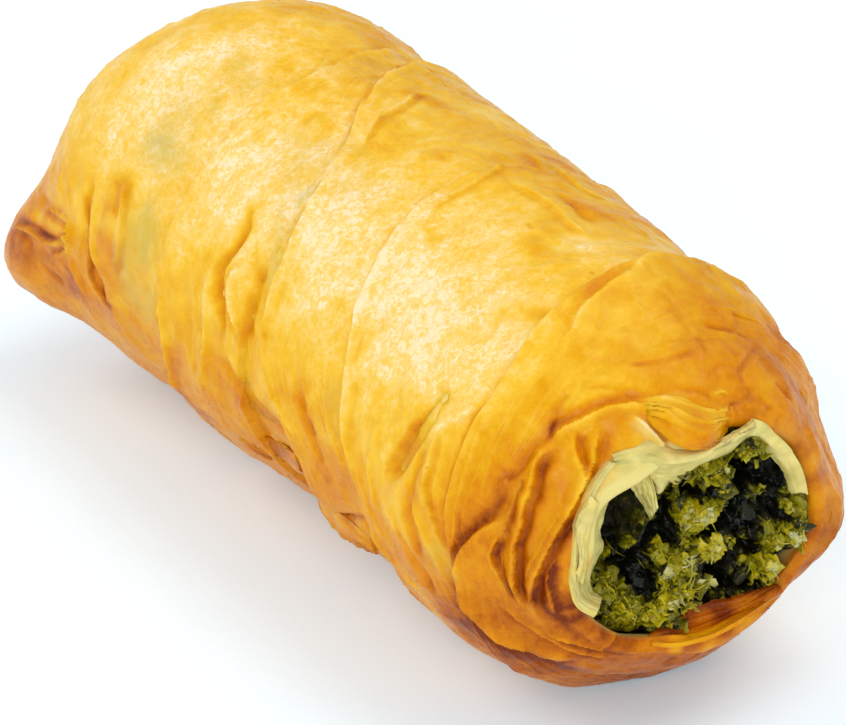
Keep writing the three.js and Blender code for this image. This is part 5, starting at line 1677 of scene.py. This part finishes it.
def leaf_fibres(random, sizes):
    """Thin curled fibres: four-sided tubes carried along quadratic curves, thinning to both ends."""
    spot, tone = front_spots(random, sizes.fibres, sizes)
    count = len(spot)
    t = np.linspace(-1, 1, FIBRE_STEPS)[None, :, None]
    axes = random_axes(random, count, 0.3)
    length = random.uniform(*FIBRE_LENGTHS, (count, 1, 1))
    curl = random.uniform(*FIBRE_CURLS, (count, 1, 1))
    path = spot[:, None] + length * (t * axes[:, :1] + curl * (t * t - 0.3) * axes[:, 1:2])
    path = path + np.array([FIBRE_RISE, 0, 0])
    corner = (np.arange(4) * math.pi / 2)[None, None, :, None]
    thick = random.uniform(*FIBRE_RADII, (count, 1, 1, 1)) * (1.15 - t ** 2)[..., None]
    ring = np.cos(corner) * axes[:, None, 1:2] + np.sin(corner) * axes[:, None, 2:3]
    points = path[:, :, None] + thick * ring
    every = 4 * FIBRE_STEPS
    caps = np.array([np.arange(4), every - 1 - np.arange(4)])
    quads = np.concatenate([grid_quads(FIBRE_STEPS, 4, closed=True), caps])
    tone = np.clip(tone + 0.14 + 0.12 * random.normal(size=count), 0.2, 1)
    return points.reshape(-1, 3), [repeated(quads, count, every)], {"fresh": np.repeat(tone, every)}


class BOREK_OT_filling(bpy.types.Operator):
    """Build the chopped spinach filling with its scraps, crumbs and fibres"""
    bl_idname = "borek.filling"
    bl_label = "Filling"

    def execute(self, context):
        sizes = context.scene.borek_sizes
        finish = finish_named("moist_leaf", moist_leaf)
        core = make_piece("filling_core", *filling_mesh(sizes), finish)
        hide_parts("filling")
        random = np.random.default_rng(7)
        makers = {"leaf_bits": leaf_bits, "leaf_crumbs": leaf_crumbs, "leaf_fibres": leaf_fibres}
        for name, maker in makers.items():
            piece = make_piece(name, *maker(random, sizes), finish)
        return {"FINISHED"}


# ---- Stage ----------------------------------------------------------------------------------------

# Lamps: name, direction from the roll, distance and size in metres, power in watts, colour.
LAMPS = [
    ("overhead", (0.15, 0.4, 0.9), 0.9, 0.7, 2.7, (1.0, 0.99, 0.97)),
    ("softbox", (-0.7, -0.55, 0.6), 0.9, 0.5, 2.3, (1.0, 0.995, 0.98)),
    ("front", (0.9, -0.6, 0.4), 0.9, 0.4, 2.7, (1.0, 1.0, 1.0)),
]
WORLD_COLOUR = (0.97, 0.98, 1.0)
WORLD_STRENGTH = 0.58
FLOOR_SIDE = 3.0  # half the floor's side in metres
CLIP_START, CLIP_END = 0.05, 20  # metres between which the camera sees


class BOREK_OT_stage(bpy.types.Operator):
    """Set up the floor, the soft light and the camera"""
    bl_idname = "borek.stage"
    bl_label = "Stage"

    def execute(self, context):
        scene = context.scene
        mesh = bpy.data.meshes.new("floor")
        corners = [(x * FLOOR_SIDE, y * FLOOR_SIDE, 0) for x, y in ((-1, -1), (1, -1), (1, 1), (-1, 1))]
        mesh.from_pydata(corners, [], [(0, 1, 2, 3)])
        mesh.materials.append(stage_paper())
        floor = bpy.data.objects.new("floor", mesh)
        scene.collection.objects.link(floor)
        world = bpy.data.worlds.new("studio")
        world.use_nodes = True
        sky = world.node_tree.nodes["Background"]
        sky.inputs["Color"].default_value = (*WORLD_COLOUR, 1)
        sky.inputs["Strength"].default_value = WORLD_STRENGTH
        scene.world = world
        for name, direction, distance, size, power, colour in LAMPS:
            light = bpy.data.lights.new(name, "AREA")
            light.shape = "DISK"
            light.size = size
            light.energy = power
            light.color = colour
            lamp = bpy.data.objects.new(name, light)
            direction = Vector(direction).normalized()
            lamp.location = direction * distance
            lamp.rotation_euler = direction.to_track_quat("Z", "Y").to_euler()
            scene.collection.objects.link(lamp)
        scene.view_settings.view_transform = "Standard"
        scene.view_settings.look = "None"
        lens = bpy.data.cameras.new("camera")
        lens.sensor_width = SENSOR_MM
        lens.lens = FOCAL_PIXELS / IMAGE_WIDTH * SENSOR_MM
        lens.clip_start = CLIP_START
        lens.clip_end = CLIP_END
        camera = bpy.data.objects.new("camera", lens)
        right, up, back = camera_axes()
        place = (camera_place() + SHIFT) * MM
        camera.matrix_world = Matrix([
            (right[0], up[0], back[0], place[0]), (right[1], up[1], back[1], place[1]),
            (right[2], up[2], back[2], place[2]), (0, 0, 0, 1)])
        scene.collection.objects.link(camera)
        scene.camera = camera
        return {"FINISHED"}


class BOREK_PT_panel(bpy.types.Panel):
    """Sizes, colours and steps of the roll"""
    bl_label = "Borek"
    bl_idname = "BOREK_PT_panel"
    bl_space_type = "VIEW_3D"
    bl_region_type = "UI"
    bl_category = "Borek"

    def draw(self, context):
        for group in (context.scene.borek_sizes, context.scene.borek_colours):
            column = self.layout.column()
            for key in group.__annotations__:
                column.prop(group, key)
        for step in STEPS:
            self.layout.operator(step.bl_idname)


STEPS = (BOREK_OT_crust, BOREK_OT_winding, BOREK_OT_sheets, BOREK_OT_filling, BOREK_OT_stage)
CLASSES = (BorekSizes, BorekColours, *STEPS, BOREK_PT_panel)


def register():
    for each in CLASSES:
        bpy.utils.register_class(each)
    bpy.types.Scene.borek_sizes = bpy.props.PointerProperty(type=BorekSizes)
    bpy.types.Scene.borek_colours = bpy.props.PointerProperty(type=BorekColours)


def unregister():
    del bpy.types.Scene.borek_colours
    del bpy.types.Scene.borek_sizes
    for each in reversed(CLASSES):
        bpy.utils.unregister_class(each)


def main():
    register()
    bpy.ops.borek.crust()
    bpy.ops.borek.winding()
    bpy.ops.borek.sheets()
    bpy.ops.borek.filling()
    bpy.ops.borek.stage()


if __name__ == "__main__":
    main()
